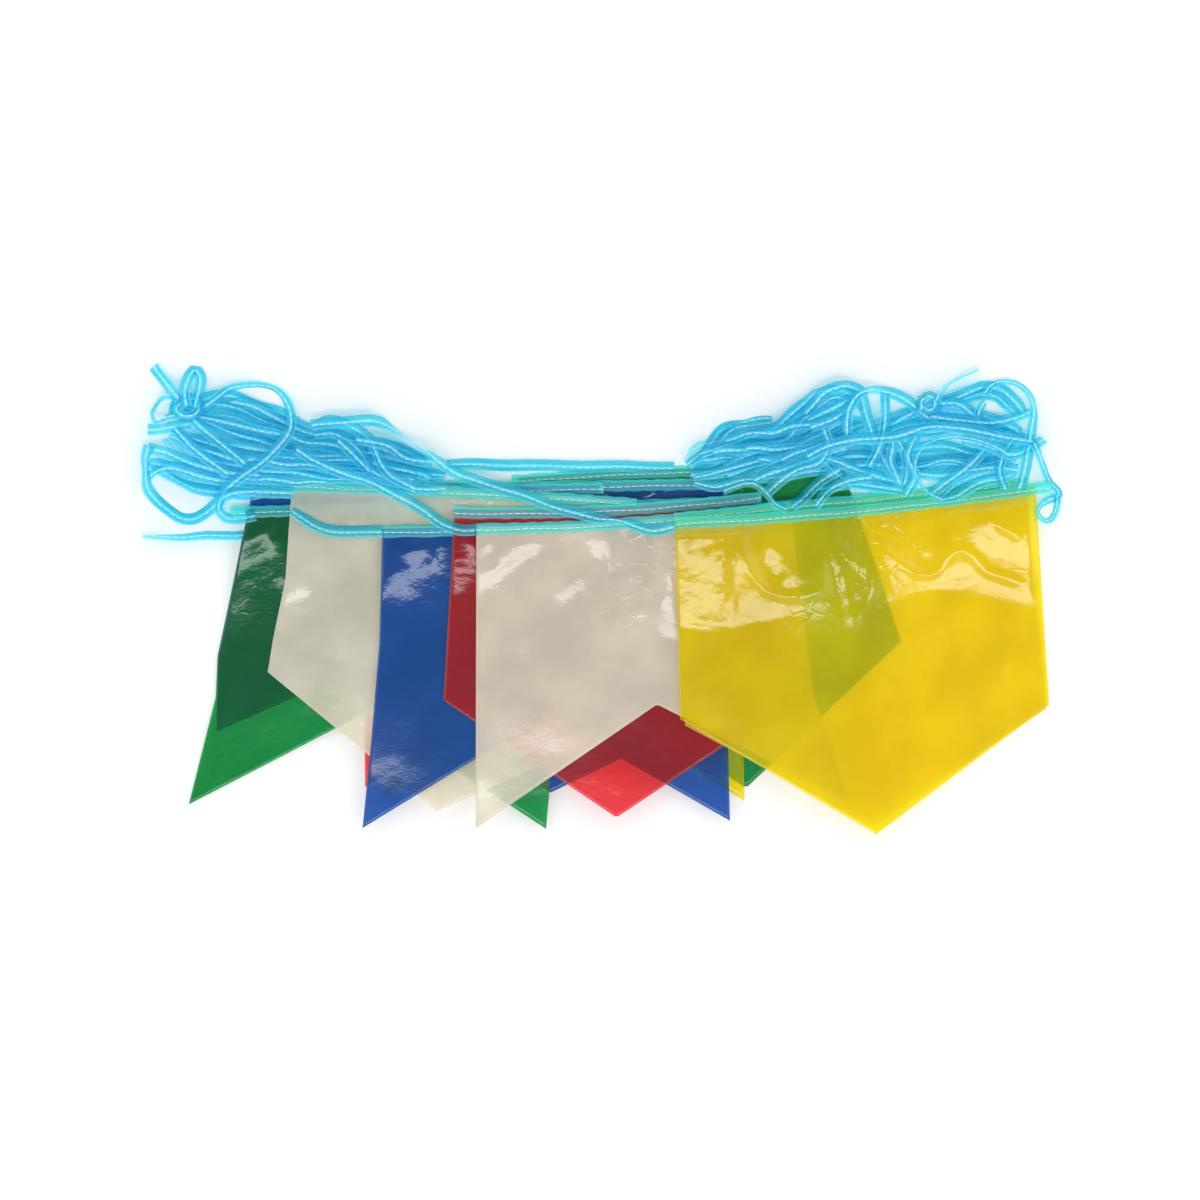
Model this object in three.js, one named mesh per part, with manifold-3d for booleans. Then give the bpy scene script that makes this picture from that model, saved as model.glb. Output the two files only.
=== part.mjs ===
// A string of plastic bunting, folded back and forth into a flat bundle and laid on a level surface.
// Twelve film pennants lie over each other like fanned cards. Each is sewn into a folded tape heading,
// and the spare tape between the pennants is gathered into a hank on the left and a tangle on the right.
// Millimetres, +X along the headings, +Y towards the tape, +Z up from the surface.

import * as THREE from 'three';
import { mergeVertices } from 'three/addons/utils/BufferGeometryUtils.js';
import Module from 'manifold-3d';

const wasm = await Module();
wasm.setup();

// Driving dimensions
const FILM = 1.0; // thickness of a film sheet
const FOLDED_TAPE = 1.4; // thickness of the tape, folded in half along its length and pressed
const TAPE_WIDTH = 6.5; // width of the folded tape
const GAP = 0.3; // least space between two pieces
const RUN_STEP = 8; // length of one step of a loose tape
const STRAND_STEP = 9; // length of one step of a strand in a hank

// The height map of all that lies on the surface already
const CELL = 2;
const MAP_HALF_X = 272;
const MAP_HALF_Y = 146;
const MAP_COLUMNS = Math.round((2 * MAP_HALF_X) / CELL) + 1;
const MAP_ROWS = Math.round((2 * MAP_HALF_Y) / CELL) + 1;
const EDGE_SLACK = 0.2; // share of a triangle that its border reaches past it on the map

// How a sheet comes to lie on what is under it
const SETTLE_ROUNDS = 60;
const STIFFNESS = 0.5; // how far a point moves to the mean of its neighbours in a round
const SAG = 0.2; // fall of a free point in a round
const FINISH_ROUNDS = 300; // most rounds of the last pass, which only lifts points clear
const TOLERANCE = 0.004; // a lift or an area below this is nothing

// The section of a strand: side and height of each corner, as shares of its width and height
const STRAND_SECTION = [
  { side: -0.34, up: 0 },
  { side: 0.34, up: 0 },
  { side: 0.5, up: 0.45 },
  { side: 0.27, up: 1 },
  { side: -0.27, up: 1 },
  { side: -0.5, up: 0.45 },
];

const FIRST_CORNER = 3; // the corner that a plain tube's first side becomes
const CAP_MIDDLE = 0.5; // inside this radius a point of a plain tube is the middle of its end
const LIFT_AT_ENDS = 0.4; // share of its lift that a strand has at its ends

const FINISHES = {
  yellow: { color: 0xebc20c, roughness: 0.28 },
  white: { color: 0xe4dcc6, roughness: 0.3 },
  red: { color: 0xd2343e, roughness: 0.28 },
  blue: { color: 0x1f4f95, roughness: 0.28 },
  green: { color: 0x0a7a42, roughness: 0.28 },
  tape: { color: 0x35bde0, roughness: 0.45 },
};

// The pennants, the lowest first. "top" is the lower edge of the heading from left to right and "bow" how
// far its middle sinks. "left" and "right" are the side edges below it, "middle" is the point or notch.
// A swell is a soft raised fold: its place, half length, half width, turn in degrees and rise.
const PENNANTS = [
  {
    name: 'green_under', film: 'green', columns: 10, rows: 7,
    top: [[-46, 63], [135, 69]], bow: -2, ends: [4, 3],
    left: [[-21, -35]], middle: [80, -104.5], right: [[156, 8], [166, -23]],
    swells: [],
  },
  {
    name: 'yellow_under', film: 'yellow', columns: 10, rows: 7,
    top: [[-119, 49], [78, 50]], bow: 1, ends: [3, 3],
    left: [[-120, -110]], middle: [-21, -50], right: [[79, -111.5]],
    swells: [],
  },
  {
    name: 'blue_under', film: 'blue', columns: 10, rows: 7,
    top: [[-99.5, 60], [68.5, 61.5]], bow: 1, ends: [2, 2],
    left: [[-124, -41.5]], middle: [-28.5, -107], right: [[75.5, -56.5]],
    swells: [],
  },
  {
    name: 'red_under', film: 'red', columns: 10, rows: 7,
    top: [[-126, 47], [72, 51]], bow: 1, ends: [2, 2],
    left: [[-132, -51], [-131.5, -104]], middle: [-31, -48], right: [[66, -100]],
    swells: [],
  },
  {
    name: 'blue_left', film: 'blue', columns: 10, rows: 7,
    top: [[-195, 56], [-1, 58.5]], bow: 0, ends: [1, 2],
    left: [[-213.5, -31], [-214, -73]], middle: [-150, -45], right: [[-22, -100]],
    swells: [],
  },
  {
    name: 'green_left', film: 'green', columns: 12, rows: 8,
    top: [[-197, 45.5], [-7, 51]], bow: 0, ends: [9, 2],
    left: [[-209.5, -15], [-213.5, -32], [-214.5, -54], [-229.5, -113.5]],
    middle: [-130, -62], right: [[-28.5, -100], [-31, -127]],
    swells: [
      { x: -207, y: 14, long: 30, wide: 6, turn: 74, rise: 1.6 },
      { x: -183, y: 34, long: 22, wide: 5, turn: 38, rise: 1.8 },
      { x: -212.5, y: -82, long: 26, wide: 5, turn: 90, rise: 1.8 },
    ],
  },
  {
    name: 'white_left', film: 'white', columns: 12, rows: 8,
    top: [[-172.2, 60], [17, 50]], bow: -1, ends: [1, 2],
    left: [[-175.5, 12], [-182.5, -21.5], [-185.5, -40]], middle: [-91.5, -117], right: [[3.5, -75]],
    swells: [
      { x: -163, y: 30, long: 18, wide: 6, turn: 70, rise: 1.6 },
      { x: -143, y: -6, long: 26, wide: 7, turn: 84, rise: 1.2 },
    ],
  },
  {
    name: 'blue_front', film: 'blue', columns: 12, rows: 8,
    top: [[-121.7, 34.5], [67, 40.5]], bow: 1, ends: [0, 2],
    left: [[-123.3, -24], [-127.8, -78], [-132.8, -126.5]], middle: [-31, -64], right: [[71, -122.5]],
    swells: [
      { x: -107, y: 18, long: 16, wide: 6, turn: 62, rise: 1.8 },
      { x: -97, y: 24, long: 9, wide: 4, turn: 100, rise: 1.4 },
    ],
  },
  {
    name: 'red_front', film: 'red', columns: 12, rows: 8,
    top: [[-82, 45.5], [86.5, 55.5]], bow: 3.2, ends: [0, 2],
    left: [[-87.8, -55.5]], middle: [8, -120.5], right: [[106, -55.5]],
    swells: [
      { x: -78, y: 22, long: 20, wide: 5, turn: 84, rise: 1.6 },
    ],
  },
  {
    name: 'white_front', film: 'white', columns: 14, rows: 9,
    top: [[-69.5, 35.5], [104.5, 48.5]], bow: 3.2, ends: [0, 1],
    left: [[-70, -126.5]], middle: [30.5, -57.8], right: [[117, -51], [137, -111.7]],
    swells: [
      { x: 37, y: 4, long: 30, wide: 5, turn: 90, rise: 2.4 },
      { x: -58, y: 24, long: 15, wide: 7, turn: 40, rise: 1.8 },
      { x: -12, y: 18, long: 14, wide: 5, turn: 74, rise: 1.4 },
      { x: 10, y: -22, long: 26, wide: 8, turn: 100, rise: 1.0 },
    ],
  },
  {
    name: 'yellow_second', film: 'yellow', columns: 10, rows: 7,
    top: [[41.5, 45], [236, 66]], bow: 0, ends: [1, 1],
    left: [[46, -69.5]], middle: [151, -125.5], right: [[246.5, -60.5]],
    swells: [],
  },
  {
    name: 'yellow_front', film: 'yellow', columns: 18, rows: 11,
    top: [[40.6, 39], [240.8, 58.3]], bow: 2.5, ends: [0, 9],
    left: [[43.3, -66]], middle: [152.2, -129.9], right: [[248.3, -58.3]],
    swells: [
      { x: 127, y: 21, long: 24, wide: 7, turn: 76, rise: 4.2 },
      { x: 144, y: 16, long: 20, wide: 6, turn: 103, rise: 3.4 },
      { x: 100, y: 11, long: 24, wide: 6, turn: -28, rise: 3.0 },
      { x: 176, y: 20, long: 24, wide: 7, turn: 12, rise: 3.0 },
      { x: 222, y: 40, long: 20, wide: 5, turn: -32, rise: 2.0 },
      { x: 60, y: 22, long: 22, wide: 8, turn: -40, rise: 2.0 },
      { x: 230, y: -10, long: 40, wide: 5, turn: 92, rise: 1.2 },
    ],
  },
];

// Loose tape that runs from the hanks to the headings: x, y and the width seen from above
const TAPE_RUNS = {
  end_left: [
    [-255.6, 35.2, 1.5], [-247, 35, 2.6], [-232, 34.9, 3.8], [-220, 35.6, 4.6], [-205, 35.9, 5], [-184, 36.6, 5],
  ],
  run_back: [
    [-86, 75.2, 5], [-72, 75.4, 6.5], [-48, 74.8, 6.5], [-22, 74.3, 6.5], [8, 74, 6.5], [40, 73.4, 6.5],
  ],
  run_lower: [
    [-172, 49.6, 4], [-166.5, 45.4, 6], [-159.5, 41, 6.5], [-151, 38.6, 6.5], [-140, 37.8, 6.5], [-122.2, 37.8, 6.5],
  ],
  run_middle: [
    [-169, 83.6, 6.5], [-153, 74, 6.5], [-128, 65, 6.5], [-108, 55, 6.5], [-97.4, 48.8, 6.5],
    [-88.4, 42.2, 6.5], [-79, 38.7, 6.5], [-70, 38.8, 6.5],
  ],
  run_upper: [
    [-161, 96.8, 6.5], [-143, 98.6, 7], [-124, 98.8, 7], [-117, 95.5, 2.4], [-101.5, 84.6, 2.4],
    [-91, 77, 5.5], [-79.5, 69.6, 6.5], [-59.5, 63.2, 6.5], [-39.5, 56.4, 6.5], [-20, 49.6, 6.5],
    [2, 44.8, 6.5], [8, 44.4, 3], [17, 41, 6], [27.5, 38.4, 6.5], [40, 41, 6.5],
  ],
};

// The strands of the two hanks: a route of x and y, the strand's width and height, and how far its
// underside is lifted at its middle.
const LEFT_HANK = [
  {
    route: [
      [-223, 109], [-214, 110.5], [-206, 114.5], [-195, 117], [-184, 115.6], [-177, 110.5],
      [-174.5, 101], [-176, 91], [-184, 82], [-196, 73],
    ],
    width: 5.5, height: 6, lift: 12,
  },
  {
    route: [
      [-186, 80.5], [-199, 70.5], [-208, 62], [-214, 54], [-222, 47.8], [-229, 46.2],
      [-237, 49.2], [-246, 56], [-250.3, 64], [-250.4, 74], [-249, 82.5],
    ],
    width: 6.5, height: 8,
  },
  {
    route: [
      [-224, 105.5], [-207, 105], [-191, 99.5], [-177, 92], [-158, 89], [-140, 86.5],
      [-124, 81.5], [-108, 77.5], [-91, 73.8],
    ],
    width: 12, height: 14,
  },
  {
    route: [
      [-233, 99], [-215, 91.5], [-196, 86], [-174, 82], [-152, 79], [-130, 74.8], [-106, 71.5],
    ],
    width: 15, height: 18,
  },
  {
    route: [[-248, 81.5], [-232, 77.5], [-216, 74.5], [-196, 73], [-173, 72], [-150, 72.5], [-128, 71.5]],
    width: 11, height: 14,
  },
  { route: [[-250, 70], [-240, 68.8], [-228, 67.4], [-217, 70.5]], width: 5, height: 5 },
  { route: [[-236, 95], [-221, 83.5], [-208, 73], [-196, 66.5]], width: 8, height: 17 },
  { route: [[-226, 99], [-212, 87], [-198, 76], [-185, 69]], width: 8, height: 21 },
  { route: [[-212, 59], [-203, 63], [-191, 67.2], [-177, 68.4]], width: 6, height: 8 },
  { route: [[-239, 113], [-231, 107], [-222, 102]], width: 12, height: 17 },
  { route: [[-228, 106], [-227.5, 117], [-226.4, 128.8]], width: 9, height: 3.5 },
  { route: [[-233, 95], [-242, 94], [-251, 94.4]], width: 6, height: 4 },
  {
    route: [[-234, 109], [-241, 111.6], [-247, 107.6], [-248.8, 102.6], [-245.8, 99], [-234, 99.5]],
    width: 2, height: 5,
  },
];

const RIGHT_HANK = [
  {
    route: [[52, 73.5], [76, 75], [99, 71], [127, 69.5], [154, 69], [182, 70], [209, 73], [229, 77]],
    width: 17, height: 11,
  },
  {
    route: [[58, 82], [80, 85], [105, 85], [132, 86], [160, 84.5], [188, 83], [214, 84], [235, 88.5]],
    width: 19, height: 17,
  },
  {
    route: [[46, 75.5], [60, 86.5], [71, 95], [96, 96.5], [118, 103.5], [136, 106.5], [149, 101]],
    width: 13, height: 14,
  },
  { route: [[176, 101], [190, 103], [204, 100]], width: 13, height: 13 },
  {
    route: [[120, 81], [143, 87], [162, 91.5], [180, 97.4], [192, 96.2], [207, 95], [224, 97], [238, 93]],
    width: 6.5, height: 21,
  },
  { route: [[212, 115], [218.5, 120], [228, 119.6], [235, 115], [238, 107], [238.2, 94]], width: 3.6, height: 7 },
  { route: [[238, 93], [236, 82], [233, 72.5]], width: 8, height: 10 },
  { route: [[239, 90], [244, 79], [247.5, 69], [253.2, 60.8]], width: 3.6, height: 9 },
  { route: [[253, 60.6], [249.5, 52], [248.6, 45.5], [244, 43.6]], width: 3, height: 7 },
  { route: [[95, 61], [92, 66], [105, 72.5], [122, 80.5], [137, 88]], width: 7, height: 17 },
  { route: [[133, 73], [120, 66.5], [110, 60.5]], width: 6.5, height: 9 },
  { route: [[165, 86], [166.5, 74], [167, 64]], width: 7, height: 20 },
  { route: [[172, 107], [180.5, 109.6], [187, 110]], width: 8, height: 13 },
];

// The strands of the right tangle that bend round open loops. Each is a piece of its own, laid on the tangle.
const RIGHT_LOOPS = {
  hank_right_arch: {
    route: [[141, 107.5], [147, 111.5], [159, 112.6], [170, 109.5], [174.5, 106]],
    width: 6, height: 6,
  },
  hank_right_band: {
    route: [[177, 107], [187, 108.6], [200, 112], [212.5, 114.8], [221, 111.8], [226.5, 105.5]],
    width: 6.5, height: 6,
  },
  hank_right_ring: {
    route: [
      [200, 74], [196.4, 83], [187.4, 86.8], [178.4, 83], [174.6, 74], [178.4, 65.8], [187.4, 63], [196.4, 65.8],
      [200, 74], [198.6, 79],
    ],
    width: 3.4, height: 5,
  },
};

// The two tails stand on edge where they leave their knots: x, y
const TAILS = {
  tail_left: { route: [[-235.6, 113], [-243, 123], [-248.9, 129.8]], width: 3.6, height: 2 },
  tail_right: { route: [[185.4, 111], [193, 119.6], [208.8, 128.4]], width: 1.6, height: 5 },
};

// The map of heights: the top of what has been laid so far, at each node of a grid
const mapHeights = new Float64Array(MAP_COLUMNS * MAP_ROWS);
const mapColumn = (x) => (x + MAP_HALF_X) / CELL;
const mapRow = (y) => (y + MAP_HALF_Y) / CELL;

// The highest of the nodes in the square of half size "reach" round a place
function highest(x, y, reach) {
  const firstColumn = Math.floor(mapColumn(x - reach));
  const lastColumn = Math.ceil(mapColumn(x + reach));
  const firstRow = Math.floor(mapRow(y - reach));
  const lastRow = Math.ceil(mapRow(y + reach));
  let height = 0;
  for (let row = firstRow; row <= lastRow; row += 1) {
    for (let column = firstColumn; column <= lastColumn; column += 1) {
      height = Math.max(height, mapHeights[row * MAP_COLUMNS + column]);
    }
  }
  return height;
}

// Raises the map to a triangle of points [x, y, z]
function coverTriangle([a, b, c]) {
  const area = (b[0] - a[0]) * (c[1] - a[1]) - (c[0] - a[0]) * (b[1] - a[1]);
  if (Math.abs(area) < TOLERANCE) {
    return;
  }
  const top = Math.max(a[2], b[2], c[2]);
  const firstColumn = Math.floor(mapColumn(Math.min(a[0], b[0], c[0])));
  const lastColumn = Math.ceil(mapColumn(Math.max(a[0], b[0], c[0])));
  const firstRow = Math.floor(mapRow(Math.min(a[1], b[1], c[1])));
  const lastRow = Math.ceil(mapRow(Math.max(a[1], b[1], c[1])));
  for (let row = firstRow; row <= lastRow; row += 1) {
    for (let column = firstColumn; column <= lastColumn; column += 1) {
      const x = column * CELL - MAP_HALF_X;
      const y = row * CELL - MAP_HALF_Y;
      const p = ((b[0] - x) * (c[1] - y) - (c[0] - x) * (b[1] - y)) / area;
      const q = ((c[0] - x) * (a[1] - y) - (a[0] - x) * (c[1] - y)) / area;
      const r = 1 - p - q;
      if (Math.min(p, q, r) > -EDGE_SLACK) {
        const index = row * MAP_COLUMNS + column;
        const height = Math.min(top, p * a[2] + q * b[2] + r * c[2]);
        mapHeights[index] = Math.max(mapHeights[index], height);
      }
    }
  }
}

// Points of a grid of "columns" by "rows" cells, row by row from the top left
function gridPoints(columns, rows, place) {
  const points = [];
  for (let row = 0; row <= rows; row += 1) {
    for (let column = 0; column <= columns; column += 1) {
      points.push(place(column / columns, row / rows));
    }
  }
  return points;
}

function gridTriangles(columns, rows) {
  const triangles = [];
  for (let row = 0; row < rows; row += 1) {
    for (let column = 0; column < columns; column += 1) {
      const a = row * (columns + 1) + column;
      const d = a + columns + 1;
      triangles.push([a, d, d + 1], [a, d + 1, a + 1]);
    }
  }
  return triangles;
}

// The places where a triangle is held off what is under it, each with its shares of the three corners
function contactsOf(points, triangle) {
  const [a, b, c] = triangle.map((index) => points[index]);
  const longest = Math.max(
    Math.hypot(a[0] - b[0], a[1] - b[1]),
    Math.hypot(b[0] - c[0], b[1] - c[1]),
    Math.hypot(c[0] - a[0], c[1] - a[1]),
  );
  const steps = Math.max(2, Math.ceil(longest / CELL));
  const contacts = [];
  for (let i = 0; i <= steps; i += 1) {
    for (let j = 0; j <= steps - i; j += 1) {
      const shares = [i / steps, j / steps, (steps - i - j) / steps];
      const x = shares[0] * a[0] + shares[1] * b[0] + shares[2] * c[0];
      const y = shares[0] * a[1] + shares[1] * b[1] + shares[2] * c[1];
      const below = highest(x, y, 0);
      contacts.push({ triangle, shares, height: below > 0 ? below + GAP : 0 });
    }
  }
  return contacts;
}

// Lifts the corners of each triangle just clear of its contacts, and returns the widest lift
function liftClear(heights, contacts) {
  let widest = 0;
  for (const { triangle, shares, height } of contacts) {
    const [p, q, r] = shares;
    const [i, j, k] = triangle;
    const need = height - (p * heights[i] + q * heights[j] + r * heights[k]);
    if (need > 0) {
      const lift = need / (p * p + q * q + r * r);
      heights[i] += lift * p;
      heights[j] += lift * q;
      heights[k] += lift * r;
      widest = Math.max(widest, need);
    }
  }
  return widest;
}

// The heights at which the underside of a sheet comes to rest
function settle(points, columns, rows) {
  const triangles = gridTriangles(columns, rows);
  const contacts = triangles.flatMap((triangle) => contactsOf(points, triangle));
  const neighbours = points.map(() => new Set());
  for (const triangle of triangles) {
    for (const corner of triangle) {
      triangle.filter((other) => other !== corner).forEach((other) => neighbours[corner].add(other));
    }
  }
  let heights = points.map(([x, y]) => highest(x, y, CELL));
  for (let round = 0; round < SETTLE_ROUNDS; round += 1) {
    const before = heights;
    heights = before.map((height, index) => {
      const near = [...neighbours[index]];
      const mean = near.reduce((sum, other) => sum + before[other], 0) / near.length;
      return Math.max(0, height + STIFFNESS * (mean - height) - SAG);
    });
    liftClear(heights, contacts);
  }
  for (let round = 0; round < FINISH_ROUNDS; round += 1) {
    if (liftClear(heights, contacts) < TOLERANCE) {
      break;
    }
  }
  return heights.map((height) => (height > 0 ? height + TOLERANCE : 0));
}

// Adds the top of a settled sheet to the map
function coverSheet(points, heights, thickness, columns, rows) {
  for (const triangle of gridTriangles(columns, rows)) {
    coverTriangle(triangle.map((index) => [...points[index], heights[index] + thickness]));
  }
}

// Bends a plain geometry: "place" turns each of its points into one of the finished piece
function bend(geometry, place) {
  const positions = geometry.getAttribute('position');
  for (let index = 0; index < positions.count; index += 1) {
    const [x, y, z] = place(positions.getX(index), positions.getY(index), positions.getZ(index));
    positions.setXYZ(index, x, y, z);
  }
  geometry.deleteAttribute('normal');
  geometry.deleteAttribute('uv');
  const bent = mergeVertices(geometry, 1e-5);
  bent.computeVertexNormals();
  return bent;
}

// The solid of a sheet from its grid of places and the heights of its underside
function sheetGeometry(points, heights, thickness, columns, rows) {
  return bend(new THREE.BoxGeometry(1, 1, 1, columns, rows, 1), (x, y, z) => {
    const column = Math.round((x + 0.5) * columns);
    const row = Math.round((0.5 - y) * rows);
    const index = row * (columns + 1) + column;
    return [...points[index], heights[index] + (z > 0 ? thickness : 0)];
  });
}

function mix(a, b, share) {
  return [a[0] + (b[0] - a[0]) * share, a[1] + (b[1] - a[1]) * share];
}

// The place at a share of the length of a line of points
function alongLine(line, share) {
  const lengths = line.slice(1).map((point, i) => Math.hypot(point[0] - line[i][0], point[1] - line[i][1]));
  let rest = share * lengths.reduce((sum, length) => sum + length, 0);
  for (let i = 0; i < lengths.length - 1; i += 1) {
    if (rest <= lengths[i]) {
      return mix(line[i], line[i + 1], rest / lengths[i]);
    }
    rest -= lengths[i];
  }
  const last = lengths.length - 1;
  return mix(line[last], line[last + 1], rest / lengths[last]);
}

// The lower edge of the heading at a share of the pennant's width
function topEdge({ top, bow }, share) {
  const [x, y] = mix(top[0], top[1], share);
  return [x, y - 4 * bow * share * (1 - share)];
}

// The direction straight out from the heading, in the plane of the surface
function outward({ top }) {
  const [left, right] = top;
  const length = Math.hypot(right[0] - left[0], right[1] - left[1]);
  return [(left[1] - right[1]) / length, (right[0] - left[0]) / length];
}

// A place on a pennant below its heading: share of the width, and of the way down to its hem
function onPennant(pennant, across, down) {
  const leftLine = [pennant.top[0], ...pennant.left];
  const rightLine = [pennant.top[1], ...pennant.right];
  const leftEnd = leftLine.at(-1);
  const rightEnd = rightLine.at(-1);
  const left = alongLine(leftLine, down);
  const right = alongLine(rightLine, down);
  const top = topEdge(pennant, across);
  const hem = across < 0.5
    ? mix(leftEnd, pennant.middle, 2 * across)
    : mix(pennant.middle, rightEnd, 2 * across - 1);
  return [0, 1].map((axis) => {
    const sides = (1 - across) * left[axis] + across * right[axis];
    const ends = (1 - down) * top[axis] + down * hem[axis];
    const corners = (1 - down) * mix(...pennant.top, across)[axis] + down * mix(leftEnd, rightEnd, across)[axis];
    return sides + ends - corners;
  });
}

function swellHeight(swells, [x, y]) {
  return swells.reduce((sum, swell) => {
    const turn = THREE.MathUtils.degToRad(swell.turn);
    const along = (x - swell.x) * Math.cos(turn) + (y - swell.y) * Math.sin(turn);
    const aside = (y - swell.y) * Math.cos(turn) - (x - swell.x) * Math.sin(turn);
    return sum + swell.rise * Math.exp(-((along / swell.long) ** 2) - (aside / swell.wide) ** 2);
  }, 0);
}

function material(name) {
  const { color, roughness } = FINISHES[name];
  return new THREE.MeshStandardMaterial({ color, roughness, metalness: 0, side: THREE.FrontSide });
}

function pieceOf(name, geometry, finish) {
  const mesh = new THREE.Mesh(geometry, material(finish));
  mesh.name = name;
  return mesh;
}

// A pennant and its heading. They are laid in one go, as one sheet whose first row is the folded tape.
function layPennant(pennant) {
  const { name, film, columns, rows, swells, ends } = pennant;
  const [outX, outY] = outward(pennant);
  const [left, right] = pennant.top;
  const width = right[0] - left[0];
  const tapePlace = (across, out) => {
    const share = across - (ends[0] / width) * (1 - across) + (ends[1] / width) * across;
    const [x, y] = topEdge(pennant, share);
    return [x + outX * out, y + outY * out];
  };
  const tapePoints = gridPoints(columns, 1, (across, down) => tapePlace(across, TAPE_WIDTH * (1 - down)));
  const filmPoints = gridPoints(columns, rows, (across, down) => {
    const [x, y] = onPennant(pennant, across, down);
    return down === 0 ? [x - outX * GAP, y - outY * GAP] : [x, y];
  });
  const rowLength = columns + 1;
  const heights = settle([...tapePoints, ...filmPoints.slice(rowLength)], columns, rows + 1);
  const tapeHeights = heights.slice(0, 2 * rowLength);
  const filmHeights = heights.slice(rowLength)
    .map((height, index) => height + (index < rowLength ? 0 : swellHeight(swells, filmPoints[index])));
  coverSheet(tapePoints, tapeHeights, FOLDED_TAPE, columns, 1);
  coverSheet(filmPoints, filmHeights, FILM, columns, rows);
  return [
    pieceOf(`pennant_${name}`, sheetGeometry(filmPoints, filmHeights, FILM, columns, rows), film),
    pieceOf(`heading_${name}`, sheetGeometry(tapePoints, tapeHeights, FOLDED_TAPE, columns, 1), 'tape'),
  ];
}

// A smooth route through [x, y] points
function routeCurve(route) {
  return new THREE.CatmullRomCurve3(route.map(([x, y]) => new THREE.Vector3(x, y, 0)), false, 'centripetal');
}

// The place and the direction to the right at a share of a route
function stationOn(curve, share) {
  const { x, y } = curve.getPoint(share);
  const heading = curve.getTangent(share);
  return { x, y, rightX: heading.y, rightY: -heading.x };
}

// A width that changes evenly from one point of a route to the next
function widthAt(route, share) {
  const place = share * (route.length - 1);
  const before = Math.min(route.length - 2, Math.floor(place));
  return route[before][2] + (route[before + 1][2] - route[before][2]) * (place - before);
}

// A loose tape that lies on what is under it
function layTape(name) {
  const route = TAPE_RUNS[name];
  const curve = routeCurve(route);
  const rows = Math.ceil(curve.getLength() / RUN_STEP);
  const points = gridPoints(1, rows, (across, down) => {
    const { x, y, rightX, rightY } = stationOn(curve, 1 - down);
    const aside = (across - 0.5) * widthAt(route, 1 - down);
    return [x + rightX * aside, y + rightY * aside];
  });
  const heights = settle(points, 1, rows);
  coverSheet(points, heights, FOLDED_TAPE, 1, rows);
  return pieceOf(`tape_${name}`, sheetGeometry(points, heights, FOLDED_TAPE, 1, rows), 'tape');
}

// The highest thing under the stretch of a strand that one station carries
function underStrand(curve, share, step, width) {
  const parts = [-1, -0.75, -0.5, -0.25, 0, 0.25, 0.5, 0.75, 1];
  const places = parts.flatMap((ahead) => {
    const at = Math.min(1, Math.max(0, share + ahead * step));
    const { x, y, rightX, rightY } = stationOn(curve, at);
    return parts.map((part) => [x + (rightX * part * width) / 2, y + (rightY * part * width) / 2]);
  });
  return Math.max(...places.map(([x, y]) => highest(x, y, CELL / 2)));
}

// One strand: a six-sided tube with a flat underside, held clear of what is under it
function strandGeometry({ route, width, height, lift = 0 }) {
  const curve = routeCurve(route);
  const steps = Math.max(2, Math.ceil(curve.getLength() / STRAND_STEP));
  const sides = STRAND_SECTION.length;
  const place = ({ side, up }, share) => {
    const { x, y, rightX, rightY } = stationOn(curve, share);
    const below = underStrand(curve, share, 1 / steps, width);
    const arch = LIFT_AT_ENDS + (1 - LIFT_AT_ENDS) * Math.sin(Math.PI * share);
    const base = (below > 0 ? below + GAP : 0) + lift * arch;
    return [x + rightX * side * width, y + rightY * side * width, base + up * height];
  };
  return bend(new THREE.CylinderGeometry(1, 1, 1, sides, steps), (x, y, z) => {
    const share = Math.round((y + 0.5) * steps) / steps;
    if (Math.hypot(x, z) < CAP_MIDDLE) {
      const corners = STRAND_SECTION.map((corner) => place(corner, share));
      return [0, 1, 2].map((axis) => corners.reduce((sum, corner) => sum + corner[axis] / sides, 0));
    }
    const turn = Math.round((Math.atan2(x, z) / (2 * Math.PI)) * sides) + sides;
    return place(STRAND_SECTION[(sides + FIRST_CORNER - (turn % sides)) % sides], share);
  });
}

function toSolid(geometry) {
  const triVerts = new Uint32Array(geometry.getIndex().array);
  const vertProperties = new Float32Array(geometry.getAttribute('position').array);
  return new wasm.Manifold(new wasm.Mesh({ numProp: 3, vertProperties, triVerts }));
}

function toGeometry(solid) {
  const { numProp, vertProperties, triVerts } = solid.getMesh();
  const positions = [];
  for (let index = 0; index < vertProperties.length; index += numProp) {
    positions.push(...vertProperties.slice(index, index + 3));
  }
  const geometry = new THREE.BufferGeometry();
  geometry.setAttribute('position', new THREE.Float32BufferAttribute(positions, 3));
  geometry.setIndex([...triVerts]);
  geometry.computeVertexNormals();
  return geometry;
}

// A hank: its strands joined into one solid, then added to the map
function layHank(name, strands) {
  const solid = strands.map((strand) => toSolid(strandGeometry(strand))).reduce((sum, strand) => sum.add(strand));
  const geometry = toGeometry(solid);
  const positions = geometry.getAttribute('position');
  const index = geometry.getIndex();
  for (let first = 0; first < index.count; first += 3) {
    const corners = [0, 1, 2].map((step) => index.getX(first + step));
    coverTriangle(corners.map((at) => [positions.getX(at), positions.getY(at), positions.getZ(at)]));
  }
  return pieceOf(name, geometry, 'tape');
}

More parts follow.
